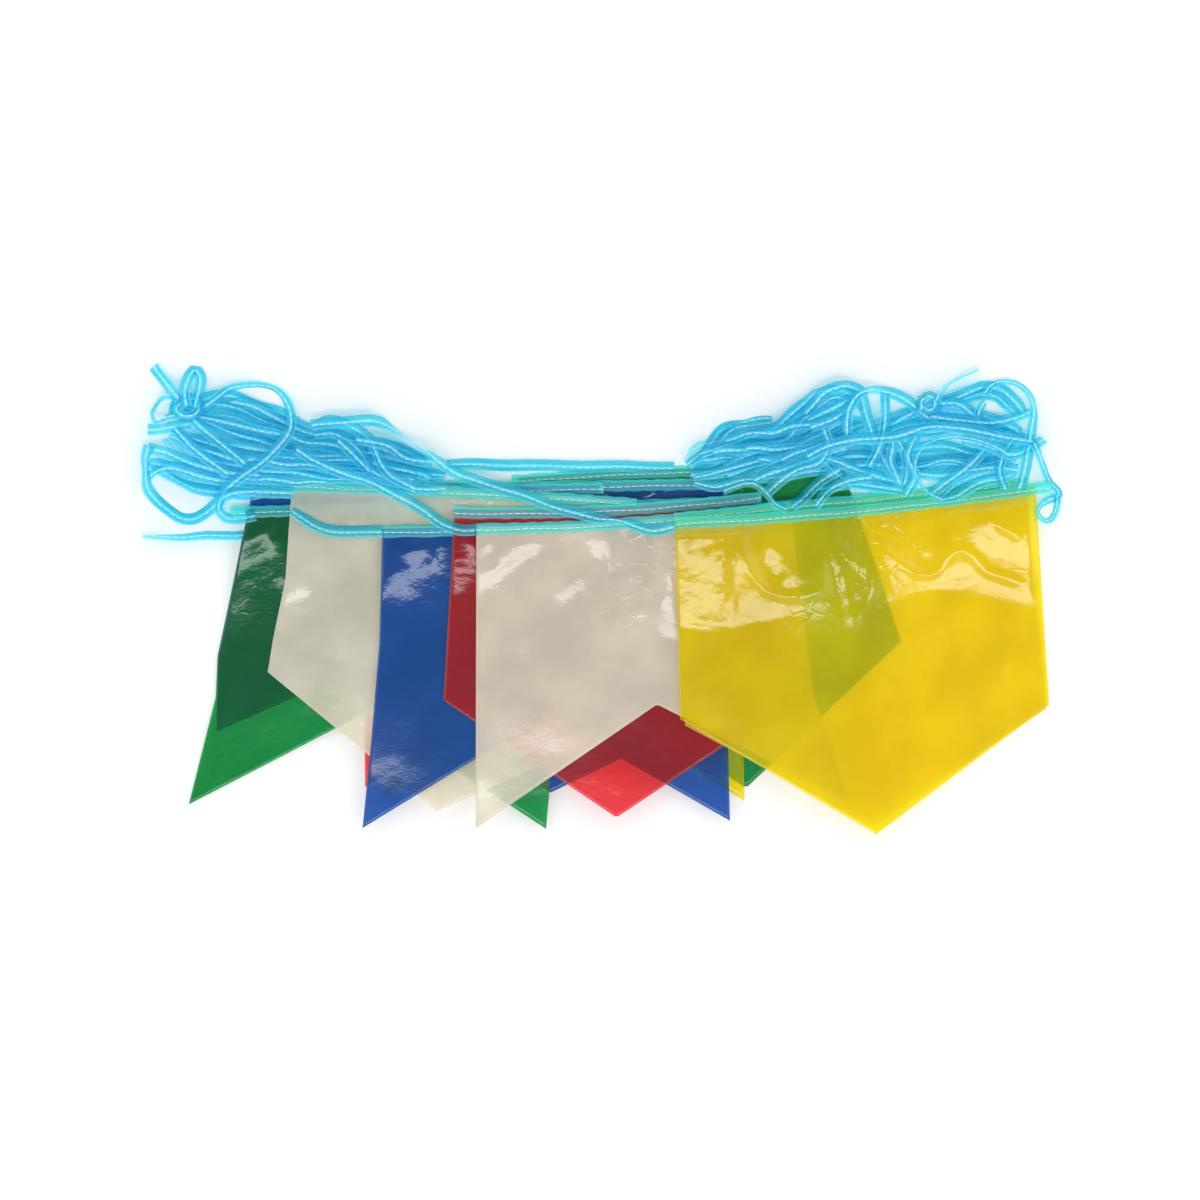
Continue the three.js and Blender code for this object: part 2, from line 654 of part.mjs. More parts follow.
// The whole bundle, from the surface up
const bundle = new THREE.Group();
bundle.add(layTape('end_left'));
PENNANTS.forEach((pennant, index) => {
  bundle.add(...layPennant(pennant));
  if (index === 0) {
    bundle.add(layTape('run_back'));
  }
});
bundle.add(layHank('hank_left', LEFT_HANK));
bundle.add(layHank('hank_right', RIGHT_HANK));
for (const [name, loop] of Object.entries(RIGHT_LOOPS)) {
  bundle.add(layHank(name, [loop]));
}
for (const name of ['run_lower', 'run_middle', 'run_upper']) {
  bundle.add(layTape(name));
}
for (const [name, tail] of Object.entries(TAILS)) {
  bundle.add(pieceOf(`tape_${name}`, strandGeometry(tail), 'tape'));
}

const box = new THREE.Box3().setFromObject(bundle);
bundle.position.set(-(box.min.x + box.max.x) / 2, -(box.min.y + box.max.y) / 2, -box.min.z);

const group = new THREE.Group();
group.add(bundle);

export default group;
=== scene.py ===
"""A folded bundle of plastic bunting, seen from straight above.

Twelve pennants of thin coloured film lie fanned over each other. Each is sewn into a tape that is folded
over its top edge, and the spare tape lies gathered into a hank on the left and a tangle on the right.
Tables are in millimetres on the surface that the bundle lies on; meshes are in metres.
"""

import logging
import math
from collections.abc import Sequence
from dataclasses import dataclass
from enum import Enum

import bmesh
import bpy
import numpy as np
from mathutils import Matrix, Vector
from mathutils.bvhtree import BVHTree

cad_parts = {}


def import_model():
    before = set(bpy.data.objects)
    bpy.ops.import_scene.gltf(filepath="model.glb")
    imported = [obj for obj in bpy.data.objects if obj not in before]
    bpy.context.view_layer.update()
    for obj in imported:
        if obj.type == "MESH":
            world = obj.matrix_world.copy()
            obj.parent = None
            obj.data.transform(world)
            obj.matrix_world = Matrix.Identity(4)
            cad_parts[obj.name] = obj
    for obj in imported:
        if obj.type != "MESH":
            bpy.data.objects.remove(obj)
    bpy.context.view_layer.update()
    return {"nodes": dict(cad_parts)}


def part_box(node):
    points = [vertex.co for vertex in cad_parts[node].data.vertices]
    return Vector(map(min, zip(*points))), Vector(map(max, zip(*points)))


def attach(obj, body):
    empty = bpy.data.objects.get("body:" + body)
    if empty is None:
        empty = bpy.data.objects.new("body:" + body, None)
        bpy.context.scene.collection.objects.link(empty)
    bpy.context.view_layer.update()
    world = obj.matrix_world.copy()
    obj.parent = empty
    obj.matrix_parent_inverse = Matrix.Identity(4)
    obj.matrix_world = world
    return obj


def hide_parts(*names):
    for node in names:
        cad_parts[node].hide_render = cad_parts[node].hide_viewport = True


LOG = logging.getLogger("bunting")

MM = 0.001

TAPE_WIDTH = 6.5  # width of the tape once it is folded in half
FLAT_TAPE = 2 * TAPE_WIDTH  # width that the tape is cut to
FILM_SOLID = 1.0  # thickness of a film sheet in the CAD model
TAPE_SOLID = 1.4  # thickness of a folded tape in the CAD model
FILM_SHELL = 0.12  # thickness of the film here
TAPE_SHELL = 0.1  # thickness of one leaf of the tape here
CLEARANCE = 0.25  # space that a sheet keeps to what lies under it
TAPE_ROWS = (6.5, 4.9, 3.2, 1.6, 0.0)  # rows of a heading, as heights above its lower edge
LEAF_RISE = 0.42  # how far the top of a heading stands above its film
RIBBON_STEP = 2.2  # length of one step of a loose tape
PIXELS = 1200  # side of the picture
MM_PER_PIXEL = 1 / 1.8
VIEW_CENTRE = (-1.1, 0.0)  # the middle of the picture, on the surface
CAMERA_HEIGHT = 3.0  # metres
SENSOR = 36.0

Point = tuple[float, float]
Colour = tuple[float, float, float]
Route = tuple[tuple[float, float, float], ...]  # rows of x, y and roll in degrees
Places = tuple[np.ndarray, np.ndarray]  # x and y


def step_lengths(line: np.ndarray) -> np.ndarray:
    """The length of each step of a line of points."""
    return np.linalg.norm(np.diff(line, axis=0), axis=1)


def running(steps: np.ndarray) -> np.ndarray:
    """The length up to each point of a line, from the lengths of its steps."""
    return np.concatenate(([0.0], np.cumsum(steps)))


def directions(line: np.ndarray) -> np.ndarray:
    """The way that a line of points goes at each of them, as steps of length 1."""
    ahead = np.gradient(line, axis=0)
    return ahead / np.linalg.norm(ahead, axis=1)[:, None]


class Hold(Enum):
    LAID = "laid"
    FOLDED = "folded"
    GATHERED = "gathered"


@dataclass(frozen=True)
class Crease:
    """A crest in the film along a line of points, or a trough where its rise is below 0."""

    line: tuple[Point, ...]
    width: float
    rise: float
    sharp: bool = False

    END = 0.04  # keeps the ends from falling to nothing
    TIP = 0.3  # rounds a sharp crest

    def height(self, x: np.ndarray, y: np.ndarray) -> np.ndarray:
        """The height that the crease adds at each place.

        Args:
            x: Places across the surface, in millimetres.
            y: Places up the surface, in millimetres.

        Returns:
            Heights in millimetres, in the shape of x.
        """
        nearest = np.full(x.shape, np.inf)
        along = np.zeros(x.shape)
        points = np.array(self.line, float)
        steps = step_lengths(points)
        total = steps.sum()
        start = 0.0
        for a, b, step in zip(points, points[1:], steps):
            share = ((x - a[0]) * (b[0] - a[0]) + (y - a[1]) * (b[1] - a[1])) / step**2
            share = np.clip(share, 0, 1)
            distance = np.hypot(x - a[0] - share * (b[0] - a[0]), y - a[1] - share * (b[1] - a[1]))
            closer = distance < nearest
            nearest = np.where(closer, distance, nearest)
            along = np.where(closer, (start + share * step) / total, along)
            start += step
        fade = np.sqrt(np.clip(4 * along * (1 - along), 0, 1) + self.END)
        spread = (nearest / self.width) ** 2
        shape = np.exp(self.TIP - np.sqrt(4 * spread + self.TIP**2)) if self.sharp else np.exp(-spread)
        return self.rise * fade * shape


@dataclass(frozen=True)
class Ramp:
    """A stretch of film that rises evenly from a lower line to an upper one, and is level above it.

    The slope is a share of the way, and the ramp fades out over the length of side past its two ends.
    """

    lower: tuple[Point, ...]
    upper: tuple[Point, ...]
    slope: float
    side: float = 5.0

    def height(self, x: np.ndarray, y: np.ndarray) -> np.ndarray:
        """The height that the ramp adds at each place.

        Args:
            x: Places across the surface, in millimetres.
            y: Places up the surface, in millimetres.

        Returns:
            Heights in millimetres, in the shape of x.
        """
        low = np.interp(x, *zip(*self.lower))
        high = np.interp(x, *zip(*self.upper))
        rise = self.slope * (np.clip(y, low, high) - low)
        start, end = self.lower[0][0], self.lower[-1][0]
        inside = np.clip(np.minimum(x - start, end - x) / self.side + 1, 0, 1)
        return rise * inside


@dataclass(frozen=True)
class Patch:
    """A patch of small crumples: its middle, half sizes and turn, the size and height of a crumple."""

    middle: Point
    half: Point
    turn: float
    crumple: float
    rise: float

    RIM = 1.4  # share of its half sizes where a patch has faded out
    WAVES = 9

    def height(self, x: np.ndarray, y: np.ndarray, draw: np.random.Generator) -> np.ndarray:
        """The height that the crumples add at each place.

        Args:
            x: Places across the surface, in millimetres.
            y: Places up the surface, in millimetres.
            draw: Where the random directions come from.

        Returns:
            Heights in millimetres, in the shape of x.
        """
        c, s = math.cos(math.radians(self.turn)), math.sin(math.radians(self.turn))
        along = ((x - self.middle[0]) * c + (y - self.middle[1]) * s) / self.half[0]
        aside = ((y - self.middle[1]) * c - (x - self.middle[0]) * s) / self.half[1]
        mask = np.clip(self.RIM - np.hypot(along, aside), 0, 1)
        return self.rise * mask * folds(x, y, draw, self.crumple, self.WAVES)


def folds(x: np.ndarray, y: np.ndarray, draw: np.random.Generator, size: float, count: int) -> np.ndarray:
    """Uneven folds that run all ways: creased sine waves of about one size.

    Args:
        x: Places across the surface, in millimetres.
        y: Places up the surface, in millimetres.
        draw: Where the directions, sizes and phases come from.
        size: Length of a fold across its crest, in millimetres.
        count: How many waves are added up.

    Returns:
        Values of about -1 to 1, in the shape of x.
    """
    spread, sharpness, bending, bend_rate = (0.7, 1.9), 0.8, 0.9, 0.6
    total = np.zeros(x.shape)
    bend = np.zeros(x.shape)
    for _ in range(count):
        angle, phase = draw.uniform(0, math.pi), draw.uniform(0, 2 * math.pi)
        wave = 2 * math.pi / (size * draw.uniform(*spread))
        place = wave * (x * math.cos(angle) + y * math.sin(angle)) + phase + bend
        total += 1 - 2 * np.abs(np.sin(place / 2)) ** sharpness
        bend += bending * np.sin(bend_rate * place + phase)
    return total / math.sqrt(count)


class Pile:
    """The tops of all that is laid so far, on an even grid of cells over the surface, in millimetres."""

    CELL = 1.0
    HALF = (285.0, 160.0)
    MARGIN = 3  # cells at the rim that are left out, so that a reach stays on the grid
    GROUND_ROUNDS = 24
    GROWN = 0.01  # a cell whose top rose by more than this was laid on
    LEAST_OVER = 0.1
    LEAST_SHARE = 0.2

    def __init__(self) -> None:
        """Starts with a bare surface."""
        rows, columns = (round(2 * half / self.CELL) + 1 for half in reversed(self.HALF))
        self.tops = np.zeros((rows, columns))

    def cells(self, x: np.ndarray, y: np.ndarray) -> Places:
        """The row and column of the cell at each place, kept off the rim.

        Args:
            x: Places across the surface, in millimetres.
            y: Places up the surface.

        Returns:
            The row and the column of the cell at each place.
        """
        column = np.rint((x + self.HALF[0]) / self.CELL).astype(int)
        row = np.rint((y + self.HALF[1]) / self.CELL).astype(int)
        last_row, last_column = (side - 1 - self.MARGIN for side in self.tops.shape)
        return np.clip(row, self.MARGIN, last_row), np.clip(column, self.MARGIN, last_column)

    def under(self, x: np.ndarray, y: np.ndarray, reach: int = 1) -> np.ndarray:
        """The highest top within some cells of each place.

        Args:
            x: Places across the surface, in millimetres.
            y: Places up the surface.
            reach: How many cells round each place count too.

        Returns:
            The highest top at each place, in millimetres.
        """
        row, column = self.cells(x, y)
        found = np.zeros(x.shape)
        for up in range(-reach, reach + 1):
            for aside in range(-reach, reach + 1):
                found = np.maximum(found, self.tops[row + up, column + aside])
        return found

    def cover(self, x: np.ndarray, y: np.ndarray, z: np.ndarray) -> None:
        """Raises the tops to a grid of points, filled in between them.

        Args:
            x: Places of the grid's points, in millimetres.
            y: The same, up the surface.
            z: Their heights.
        """
        x, y, z = (finer(finer(values)) for values in (x, y, z))
        np.maximum.at(self.tops, self.cells(x, y), z)

    def press(self, before: np.ndarray, ceiling: float) -> tuple[np.ndarray, float]:
        """Presses down what was laid since an earlier state, so that it stays under a ceiling.

        Args:
            before: The tops at that state.
            ceiling: The greatest height that is left, in millimetres.

        Returns:
            The smooth ground that it is pressed onto, and the share of the heights over it that is left.
        """
        ground = smoothed(before, self.GROUND_ROUNDS, before)
        grown = self.tops > before + self.GROWN
        over = np.maximum(self.tops - ground, self.LEAST_OVER)[grown]
        share = float(np.clip(((ceiling - ground[grown]) / over).min(), self.LEAST_SHARE, 1.0))
        self.tops = np.where(grown, ground + share * (self.tops - ground), self.tops)
        return ground, share


def finer(values: np.ndarray) -> np.ndarray:
    """A grid with a point halfway between each two points of the given one.

    Args:
        values: Rows and columns of values.

    Returns:
        The same values with others put in between them.
    """
    rows, columns = values.shape
    made = np.empty((2 * rows - 1, 2 * columns - 1))
    made[::2, ::2] = values
    made[1::2, ::2] = (values[:-1] + values[1:]) / 2
    made[:, 1::2] = (made[:, :-2:2] + made[:, 2::2]) / 2
    return made


def smoothed(z: np.ndarray, rounds: int, floor: np.ndarray | None = None) -> np.ndarray:
    """A grid of heights, smoothed, and held above a floor where one is given.

    Args:
        z: Rows and columns of heights.
        rounds: How many times neighbours are averaged.
        floor: The least height at each place.

    Returns:
        The smoothed heights, none below the floor.
    """
    pull = 0.6  # share of the way to its neighbours' mean that a height goes in a round
    for _ in range(rounds):
        wide = np.pad(z, 1, mode="edge")
        mean = (wide[:-2, 1:-1] + wide[2:, 1:-1] + wide[1:-1, :-2] + wide[1:-1, 2:]) / 4
        z = z + pull * (mean - z)
        if floor is not None:
            z = np.maximum(z, floor)
    return z


class Table:
    """The surface's own millimetres, in which the tables are, and the solids that lie on it."""

    def __init__(self, nodes: dict[str, bpy.types.Object]) -> None:
        """Finds how far the CAD model was moved to centre it.

        Args:
            nodes: The CAD nodes by name.
        """
        low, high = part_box("pennant_green_under")
        lowest = GREEN_UNDER.middle[1]
        furthest = max(point[0] for point in GREEN_UNDER.right)
        self.shift = (high.x / MM - furthest, low.y / MM - lowest)
        self.nodes = nodes
        self.trees: dict[str, BVHTree] = {}

    def metres(self, x: np.ndarray, y: np.ndarray, z: np.ndarray) -> np.ndarray:
        """Points in the frame, in metres, from places and heights in millimetres."""
        return np.stack((x + self.shift[0], y + self.shift[1], z), axis=-1) * MM

    def press(self, mesh: bpy.types.Mesh, pile: Pile, ground: np.ndarray, share: float) -> None:
        """Presses a mesh down onto the ground, to a share of its heights over it.

        Args:
            mesh: The mesh to press.
            pile: What tells the cell of each place.
            ground: Heights that stay, a value for each cell.
            share: The share of its height above the ground that a point keeps.
        """
        flat = np.empty(len(mesh.vertices) * 3)
        mesh.vertices.foreach_get("co", flat)
        points = flat.reshape(-1, 3)
        x, y = points[:, 0] / MM - self.shift[0], points[:, 1] / MM - self.shift[1]
        under = ground[pile.cells(x, y)] * MM
        points[:, 2] = under + share * (points[:, 2] - under)
        mesh.vertices.foreach_set("co", points.ravel())
        mesh.update()

    def top(self, node: str, x: np.ndarray, y: np.ndarray) -> np.ndarray:
        """The top of a CAD node at each place, in millimetres.

        Args:
            node: The CAD node's name.
            x: Places across the surface, in millimetres.
            y: Places up the surface.

        Returns:
            Heights in millimetres, in the shape of x.
        """
        if node not in self.trees:
            mesh = self.nodes[node].data
            corners = [vertex.co.copy() for vertex in mesh.vertices]
            faces = [tuple(face.vertices) for face in mesh.polygons]
            self.trees[node] = BVHTree.FromPolygons(corners, faces)
        tree = self.trees[node]
        low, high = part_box(node)
        middle = (low.z + high.z) / 2
        heights = np.empty(x.shape)
        for index in np.ndindex(x.shape):
            place = Vector(self.metres(x[index], y[index], 0.0))
            hit = tree.ray_cast(place + Vector((0, 0, 1)), Vector((0, 0, -1)))[0]
            if hit is None:
                hit = tree.find_nearest(place + Vector((0, 0, middle)))[0]
            heights[index] = hit.z / MM
        return heights


def into_scene(name: str, data: bpy.types.ID) -> bpy.types.Object:
    """A new object in the scene, with a mesh, a light or a lens."""
    made = bpy.data.objects.new(name, data)
    bpy.context.scene.collection.objects.link(made)
    return made


def mesh_from(name: str, shape: bmesh.types.BMesh) -> bpy.types.Mesh:
    """A new mesh of what was built in memory, which is freed."""
    mesh = bpy.data.meshes.new(name)
    shape.to_mesh(mesh)
    shape.free()
    return mesh


def grid_mesh(name: str, places: np.ndarray, surface: np.ndarray, merge: bool = False) -> bpy.types.Object:
    """A smooth mesh from a plain grid whose points are moved to their places.

    Args:
        name: The object's name.
        places: Rows and columns of points, in metres, from the top left.
        surface: For each of them, its place on the flat piece, in metres.
        merge: Whether points that meet become one, as in a tube.

    Returns:
        The object, in the scene.
    """
    rows, columns = places.shape[0] - 1, places.shape[1] - 1
    shape = bmesh.new()
    shape.loops.layers.uv.new("surface")
    bmesh.ops.create_grid(shape, x_segments=columns, y_segments=rows, size=0.5, calc_uvs=True)
    mesh = mesh_from(name, shape)
    flat = np.empty(len(mesh.vertices) * 3)
    mesh.vertices.foreach_get("co", flat)
    plain = flat.reshape(-1, 3)
    column = np.rint((plain[:, 0] + 0.5) * columns).astype(int)
    row = np.rint((0.5 - plain[:, 1]) * rows).astype(int)
    mesh.vertices.foreach_set("co", places[row, column].ravel())
    corner = np.empty(len(mesh.loops), int)
    mesh.loops.foreach_get("vertex_index", corner)
    mesh.uv_layers["surface"].data.foreach_set("uv", surface[row[corner], column[corner]].ravel())
    if merge:
        shape = bmesh.new()
        shape.from_mesh(mesh)
        bmesh.ops.remove_doubles(shape, verts=shape.verts, dist=1e-7)
        bmesh.ops.recalc_face_normals(shape, faces=shape.faces)
        shape.to_mesh(mesh)
        shape.free()
    mesh.polygons.foreach_set("use_smooth", np.ones(len(mesh.polygons), bool))
    mesh.update()
    return into_scene(name, mesh)


def joined(name: str, parts: Sequence[bpy.types.Object]) -> bpy.types.Object:
    """One object from several, with their meshes together.

    Args:
        name: The new object's name.
        parts: The objects to join.

    Returns:
        The one object.
    """
    shape = bmesh.new()
    for part in parts:
        shape.from_mesh(part.data)
        spent = part.data
        bpy.data.objects.remove(part)
        bpy.data.meshes.remove(spent)
    return into_scene(name, mesh_from(name, shape))


def thicken(piece: bpy.types.Object, thickness: float) -> None:
    """Gives a sheet its thickness, in millimetres, to both sides of it.

    Args:
        piece: The thin piece.
        thickness: How thick it becomes, in millimetres.
    """
    shell = piece.modifiers.new("thickness", "SOLIDIFY")
    shell.thickness = thickness * MM
    shell.offset = 0.0


class Bench:
    """A node tree that is being built: makes nodes, sets their sockets and links them."""

    def __init__(self, tree: bpy.types.NodeTree) -> None:
        """Starts with an empty tree."""
        self.tree = tree
        tree.nodes.clear()

    def node(self, kind: str, inputs: dict | None = None, **settings: object) -> bpy.types.Node:
        """A new node.

        Args:
            kind: The node's type.
            inputs: For each socket, by name or number, a value or the socket to link to it.
            settings: The node's own settings.

        Returns:
            The node.
        """
        made = self.tree.nodes.new(kind)
        for setting, value in settings.items():
            setattr(made, setting, value)
        for socket, value in (inputs or {}).items():
            if isinstance(value, bpy.types.NodeSocket):
                self.tree.links.new(value, made.inputs[socket])
            else:
                made.inputs[socket].default_value = value
        return made

    def maths(self, operation: str, a: object, b: object = 0.0, clamp: bool = False) -> bpy.types.NodeSocket:
        """The result of a sum on two values or sockets."""
        return self.node("ShaderNodeMath", {0: a, 1: b}, operation=operation, use_clamp=clamp).outputs[0]

    def ramp(self, value: object, low: float, high: float) -> bpy.types.NodeSocket:
        """0 below one value, 1 above another and smooth between them."""
        made = self.node("ShaderNodeMapRange", {0: value, 1: low, 2: high}, interpolation_type="SMOOTHSTEP")
        return made.outputs[0]

    def noise(self, vector: object, scale: float, detail: float = 2.0) -> bpy.types.NodeSocket:
        """A cloud of values round 0.5."""
        made = self.node("ShaderNodeTexNoise", {"Vector": vector, "Scale": scale, "Detail": detail})
        return made.outputs["Fac"]

    def blend(self, share: object, a: object, b: object) -> bpy.types.NodeSocket:
        """A colour between two, at a share."""
        return self.node("ShaderNodeMix", {0: share, 6: a, 7: b}, data_type="RGBA").outputs[2]

    def bumps(self, strength: float, depth: float, height: object) -> bpy.types.NodeSocket:
        """The slopes of small bumps, of a depth in millimetres."""
        made = self.node("ShaderNodeBump", {"Strength": strength, "Distance": depth * MM, "Height": height})
        return made.outputs[0]


def new_material(name: str) -> tuple[bpy.types.Material, Bench]:
    """A new material, and its node tree to build in."""
    made = bpy.data.materials.new(name)
    made.use_nodes = True
    return made, Bench(made.node_tree)


def new_group(name: str, inputs: dict[str, str], outputs: dict[str, str]) -> bpy.types.NodeTree:
    """An empty shader node group with its sockets.

    Args:
        name: The group's name.
        inputs: The type of each input socket by name.
        outputs: The type of each output socket by name.

    Returns:
        The group's tree.
    """
    group = bpy.data.node_groups.new(name, "ShaderNodeTree")
    for side, sockets in (("INPUT", inputs), ("OUTPUT", outputs)):
        for socket, kind in sockets.items():
            group.interface.new_socket(socket, in_out=side, socket_type=kind)
    return group


def film_group() -> bpy.types.NodeTree:
    """The fine crumples of thin film, and the clouds in its colour.

    Returns:
        The node group.
    """
    group = new_group(
        "film_surface",
        {"Vector": "NodeSocketVector"},
        {"Height": "NodeSocketFloat", "Cloud": "NodeSocketFloat"},
    )
    bench = Bench(group)
    vector = bench.node("NodeGroupInput").outputs["Vector"]
    below = bench.node("ShaderNodeSeparateXYZ", {0: vector}).outputs[1]
    crumpled_to, smooth_from = 12 * MM, 75 * MM  # distances below the heading
    least_share = 0.35  # what is left of the crumples in the smooth part
    patch_scale, cell_scale, soft_scale, fine_scale, cloud_scale = 14, 130.0, 160, 900, 26
    line_half_width, line_height, soft_height, fine_height = 0.16, 0.4, 0.6, 0.06
    near = bench.maths("SUBTRACT", 1.0, bench.ramp(below, crumpled_to, smooth_from))
    share = bench.maths("ADD", bench.maths("MULTIPLY", near, 1 - least_share), least_share)
    where = bench.maths("MULTIPLY", bench.ramp(bench.noise(vector, patch_scale, 1), 0.42, 0.66), near)
    cells = bench.node(
        "ShaderNodeTexVoronoi",
        {"Vector": vector, "Scale": cell_scale},
        feature="DISTANCE_TO_EDGE",
    ).outputs["Distance"]
    edges = bench.maths("SUBTRACT", 1.0, bench.ramp(cells, 0.0, line_half_width))
    lines = bench.maths("MULTIPLY", edges, where)
    soft_share = bench.maths("MULTIPLY", share, soft_height)
    soft = bench.maths("MULTIPLY", bench.noise(vector, soft_scale, 3), soft_share)
    fine = bench.maths("MULTIPLY", bench.noise(vector, fine_scale, 1), fine_height)
    height = bench.maths("ADD", bench.maths("MULTIPLY", lines, line_height), bench.maths("ADD", soft, fine))
    bench.node("NodeGroupOutput", {"Height": height, "Cloud": bench.noise(vector, cloud_scale, 4)})
    return group


def tape_group() -> bpy.types.NodeTree:
    """The fine lengthwise wrinkles of the tape, its specks, and the pale line beside its seam and at its free
    edges, which is partly the tape's lighter double layer and partly painted highlight.

    Returns:
        The node group.
    """
    group = new_group(
        "tape_surface",
        {"Vector": "NodeSocketVector"},
        {"Height": "NodeSocketFloat", "Speck": "NodeSocketFloat", "Pale_and_highlight": "NodeSocketFloat"},
    )
    bench = Bench(group)
    vector = bench.node("NodeGroupInput").outputs["Vector"]
    lengthwise = (1.0, 0.22, 1.0)
    wrinkle_scale, speck_scale = 520, 1500
    seam_at, rim_from, rim_to = 3.8 * MM, 5.6 * MM, 6.2 * MM  # distances from the fold
    line_core, line_edge = 0.25 * MM, 0.7 * MM  # distances from the seam
    # how pale the seam line and the rims at the free edges are: partly the tape's own lighter double layer,
    # partly painted highlight that raises the tape's contrast
    seam_pale_and_highlight, rim_pale_and_highlight = 0.5, 0.3
    stretched = bench.node("ShaderNodeMapping", {"Vector": vector, "Scale": lengthwise}).outputs[0]
    wrinkle = bench.noise(stretched, wrinkle_scale, 3)
    speck = bench.ramp(bench.noise(vector, speck_scale, 2), 0.5, 0.7)
    across = bench.node("ShaderNodeSeparateXYZ", {0: vector}).outputs[0]
    side = bench.maths("ABSOLUTE", bench.maths("SUBTRACT", across, TAPE_WIDTH * MM))
    seam = bench.maths("ABSOLUTE", bench.maths("SUBTRACT", side, seam_at))
    beside = bench.maths("SUBTRACT", 1.0, bench.ramp(seam, line_core, line_edge))
    line = bench.maths("MULTIPLY", beside, seam_pale_and_highlight)
    rim = bench.maths("MULTIPLY", bench.ramp(side, rim_from, rim_to), rim_pale_and_highlight)
    pale = bench.maths("ADD", line, rim, True)
    bench.node("NodeGroupOutput", {"Height": wrinkle, "Speck": speck, "Pale_and_highlight": pale})
    return group


@dataclass(frozen=True)
class FilmFinish:
    """Thin glossy see-through film: what it scatters itself, and what it lets through."""

    slot: str
    own: Colour
    passed: Colour
    roughness: float = 0.16
    crumple: float = 1.0
    crumple_depth: float = 0.65

    def material(self, group: bpy.types.NodeTree) -> bpy.types.Material:
        """The film's material.

        Args:
            group: The node group of the film's surface.

        Returns:
            The new material.
        """
        made, bench = new_material(self.slot)
        place = bench.node("ShaderNodeUVMap", uv_map="surface").outputs[0]
        surface = bench.node("ShaderNodeGroup", {"Vector": place}, node_tree=group)
        darker, lighter = 0.9, 1.08
        dark = (*[darker * c for c in self.own], 1)
        light = (*[min(1.0, lighter * c) for c in self.own], 1)
        cloud = bench.ramp(surface.outputs["Cloud"], 0.35, 0.65)
        bump = bench.bumps(self.crumple, self.crumple_depth, surface.outputs["Height"])
        skin = bench.node(
            "ShaderNodeBsdfPrincipled",
            {
                "Base Color": bench.blend(cloud, dark, light),
                "Roughness": self.roughness,
                "IOR": 1.5,
                "Normal": bump,
            },
        )
        finish_shader(bench, skin, (*self.passed, 1), shades=False)
        return made


@dataclass(frozen=True)
class TapeFinish:
    """Soft see-through tape: what it scatters itself, what it lets through, and the same on its pale lines,
    which are partly painted highlight.
    """

    name: str
    own: Colour
    passed: Colour
    pale_and_highlight_own: Colour
    speck: float
    roughness: float = 0.42
    wrinkle: float = 0.7
    wrinkle_depth: float = 0.25

    def material(self, group: bpy.types.NodeTree) -> bpy.types.Material:
        """The tape's material.

        Args:
            group: The node group of the tape's surface.

        Returns:
            The new material.
        """
        made, bench = new_material(self.name)
        place = bench.node("ShaderNodeUVMap", uv_map="surface").outputs[0]
        surface = bench.node("ShaderNodeGroup", {"Vector": place}, node_tree=group)
        # the pale lines, partly the tape's own lighter colour and partly painted highlight, and the specks
        # lighten the base colour
        share = bench.maths(
            "ADD",
            surface.outputs["Pale_and_highlight"],
            bench.maths("MULTIPLY", surface.outputs["Speck"], self.speck),
            True,
        )
        bump = bench.bumps(self.wrinkle, self.wrinkle_depth, surface.outputs["Height"])
        skin = bench.node(
            "ShaderNodeBsdfPrincipled",
            {
                "Base Color": bench.blend(share, (*self.own, 1), (*self.pale_and_highlight_own, 1)),
                "Roughness": self.roughness,
                "IOR": 1.48,
                "Normal": bump,
            },
        )
        finish_shader(bench, skin, (*self.passed, 1), shades=True)
        return made


def finish_shader(bench: Bench, skin: bpy.types.Node, passed: tuple[float, ...], shades: bool) -> None:
    """Adds the light that goes through a thin shell, once for each time that it is crossed.

    Args:
        bench: The material's node tree.
        skin: The shader of what the surface scatters.
        passed: The colour of what goes through.
        shades: Whether it tints the light that falls on what lies under it.
    """
    through = bench.node("ShaderNodeBsdfTransparent", {"Color": passed})
    clear = bench.node("ShaderNodeBsdfTransparent")
    lit = bench.node("ShaderNodeAddShader", {0: skin.outputs[0], 1: through.outputs[0]})
    inner = bench.node("ShaderNodeNewGeometry").outputs["Backfacing"]
    shadow = bench.node("ShaderNodeLightPath").outputs["Is Shadow Ray"]
    if shades:
        lit = bench.node("ShaderNodeMixShader", {0: shadow, 1: lit.outputs[0], 2: through.outputs[0]})
    else:
        inner = bench.maths("MAXIMUM", inner, shadow)
    whole = bench.node("ShaderNodeMixShader", {0: inner, 1: lit.outputs[0], 2: clear.outputs[0]})
    bench.node("ShaderNodeOutputMaterial", {"Surface": whole.outputs[0]})


@dataclass(frozen=True)
class PlainFinish:
    """An opaque finish with a fine grain in its colour and surface."""

    name: str
    light: Colour
    dark: Colour
    roughness: float
    grain: float
    bump: float = 0.0
    bump_depth: float = 0.1

    def material(self) -> bpy.types.Material:
        """The finish's material.

        Returns:
            The new material.
        """
        made, bench = new_material(self.name)
        place = bench.node("ShaderNodeTexCoord").outputs["Object"]
        cloud = bench.noise(place, self.grain, 3)
        bump = bench.bumps(self.bump, self.bump_depth, cloud)
        skin = bench.node(
            "ShaderNodeBsdfPrincipled",
            {
                "Base Color": bench.blend(cloud, (*self.dark, 1), (*self.light, 1)),
                "Roughness": self.roughness,
                "Normal": bump,
            },
        )
        bench.node("ShaderNodeOutputMaterial", {"Surface": skin.outputs[0]})
        return made


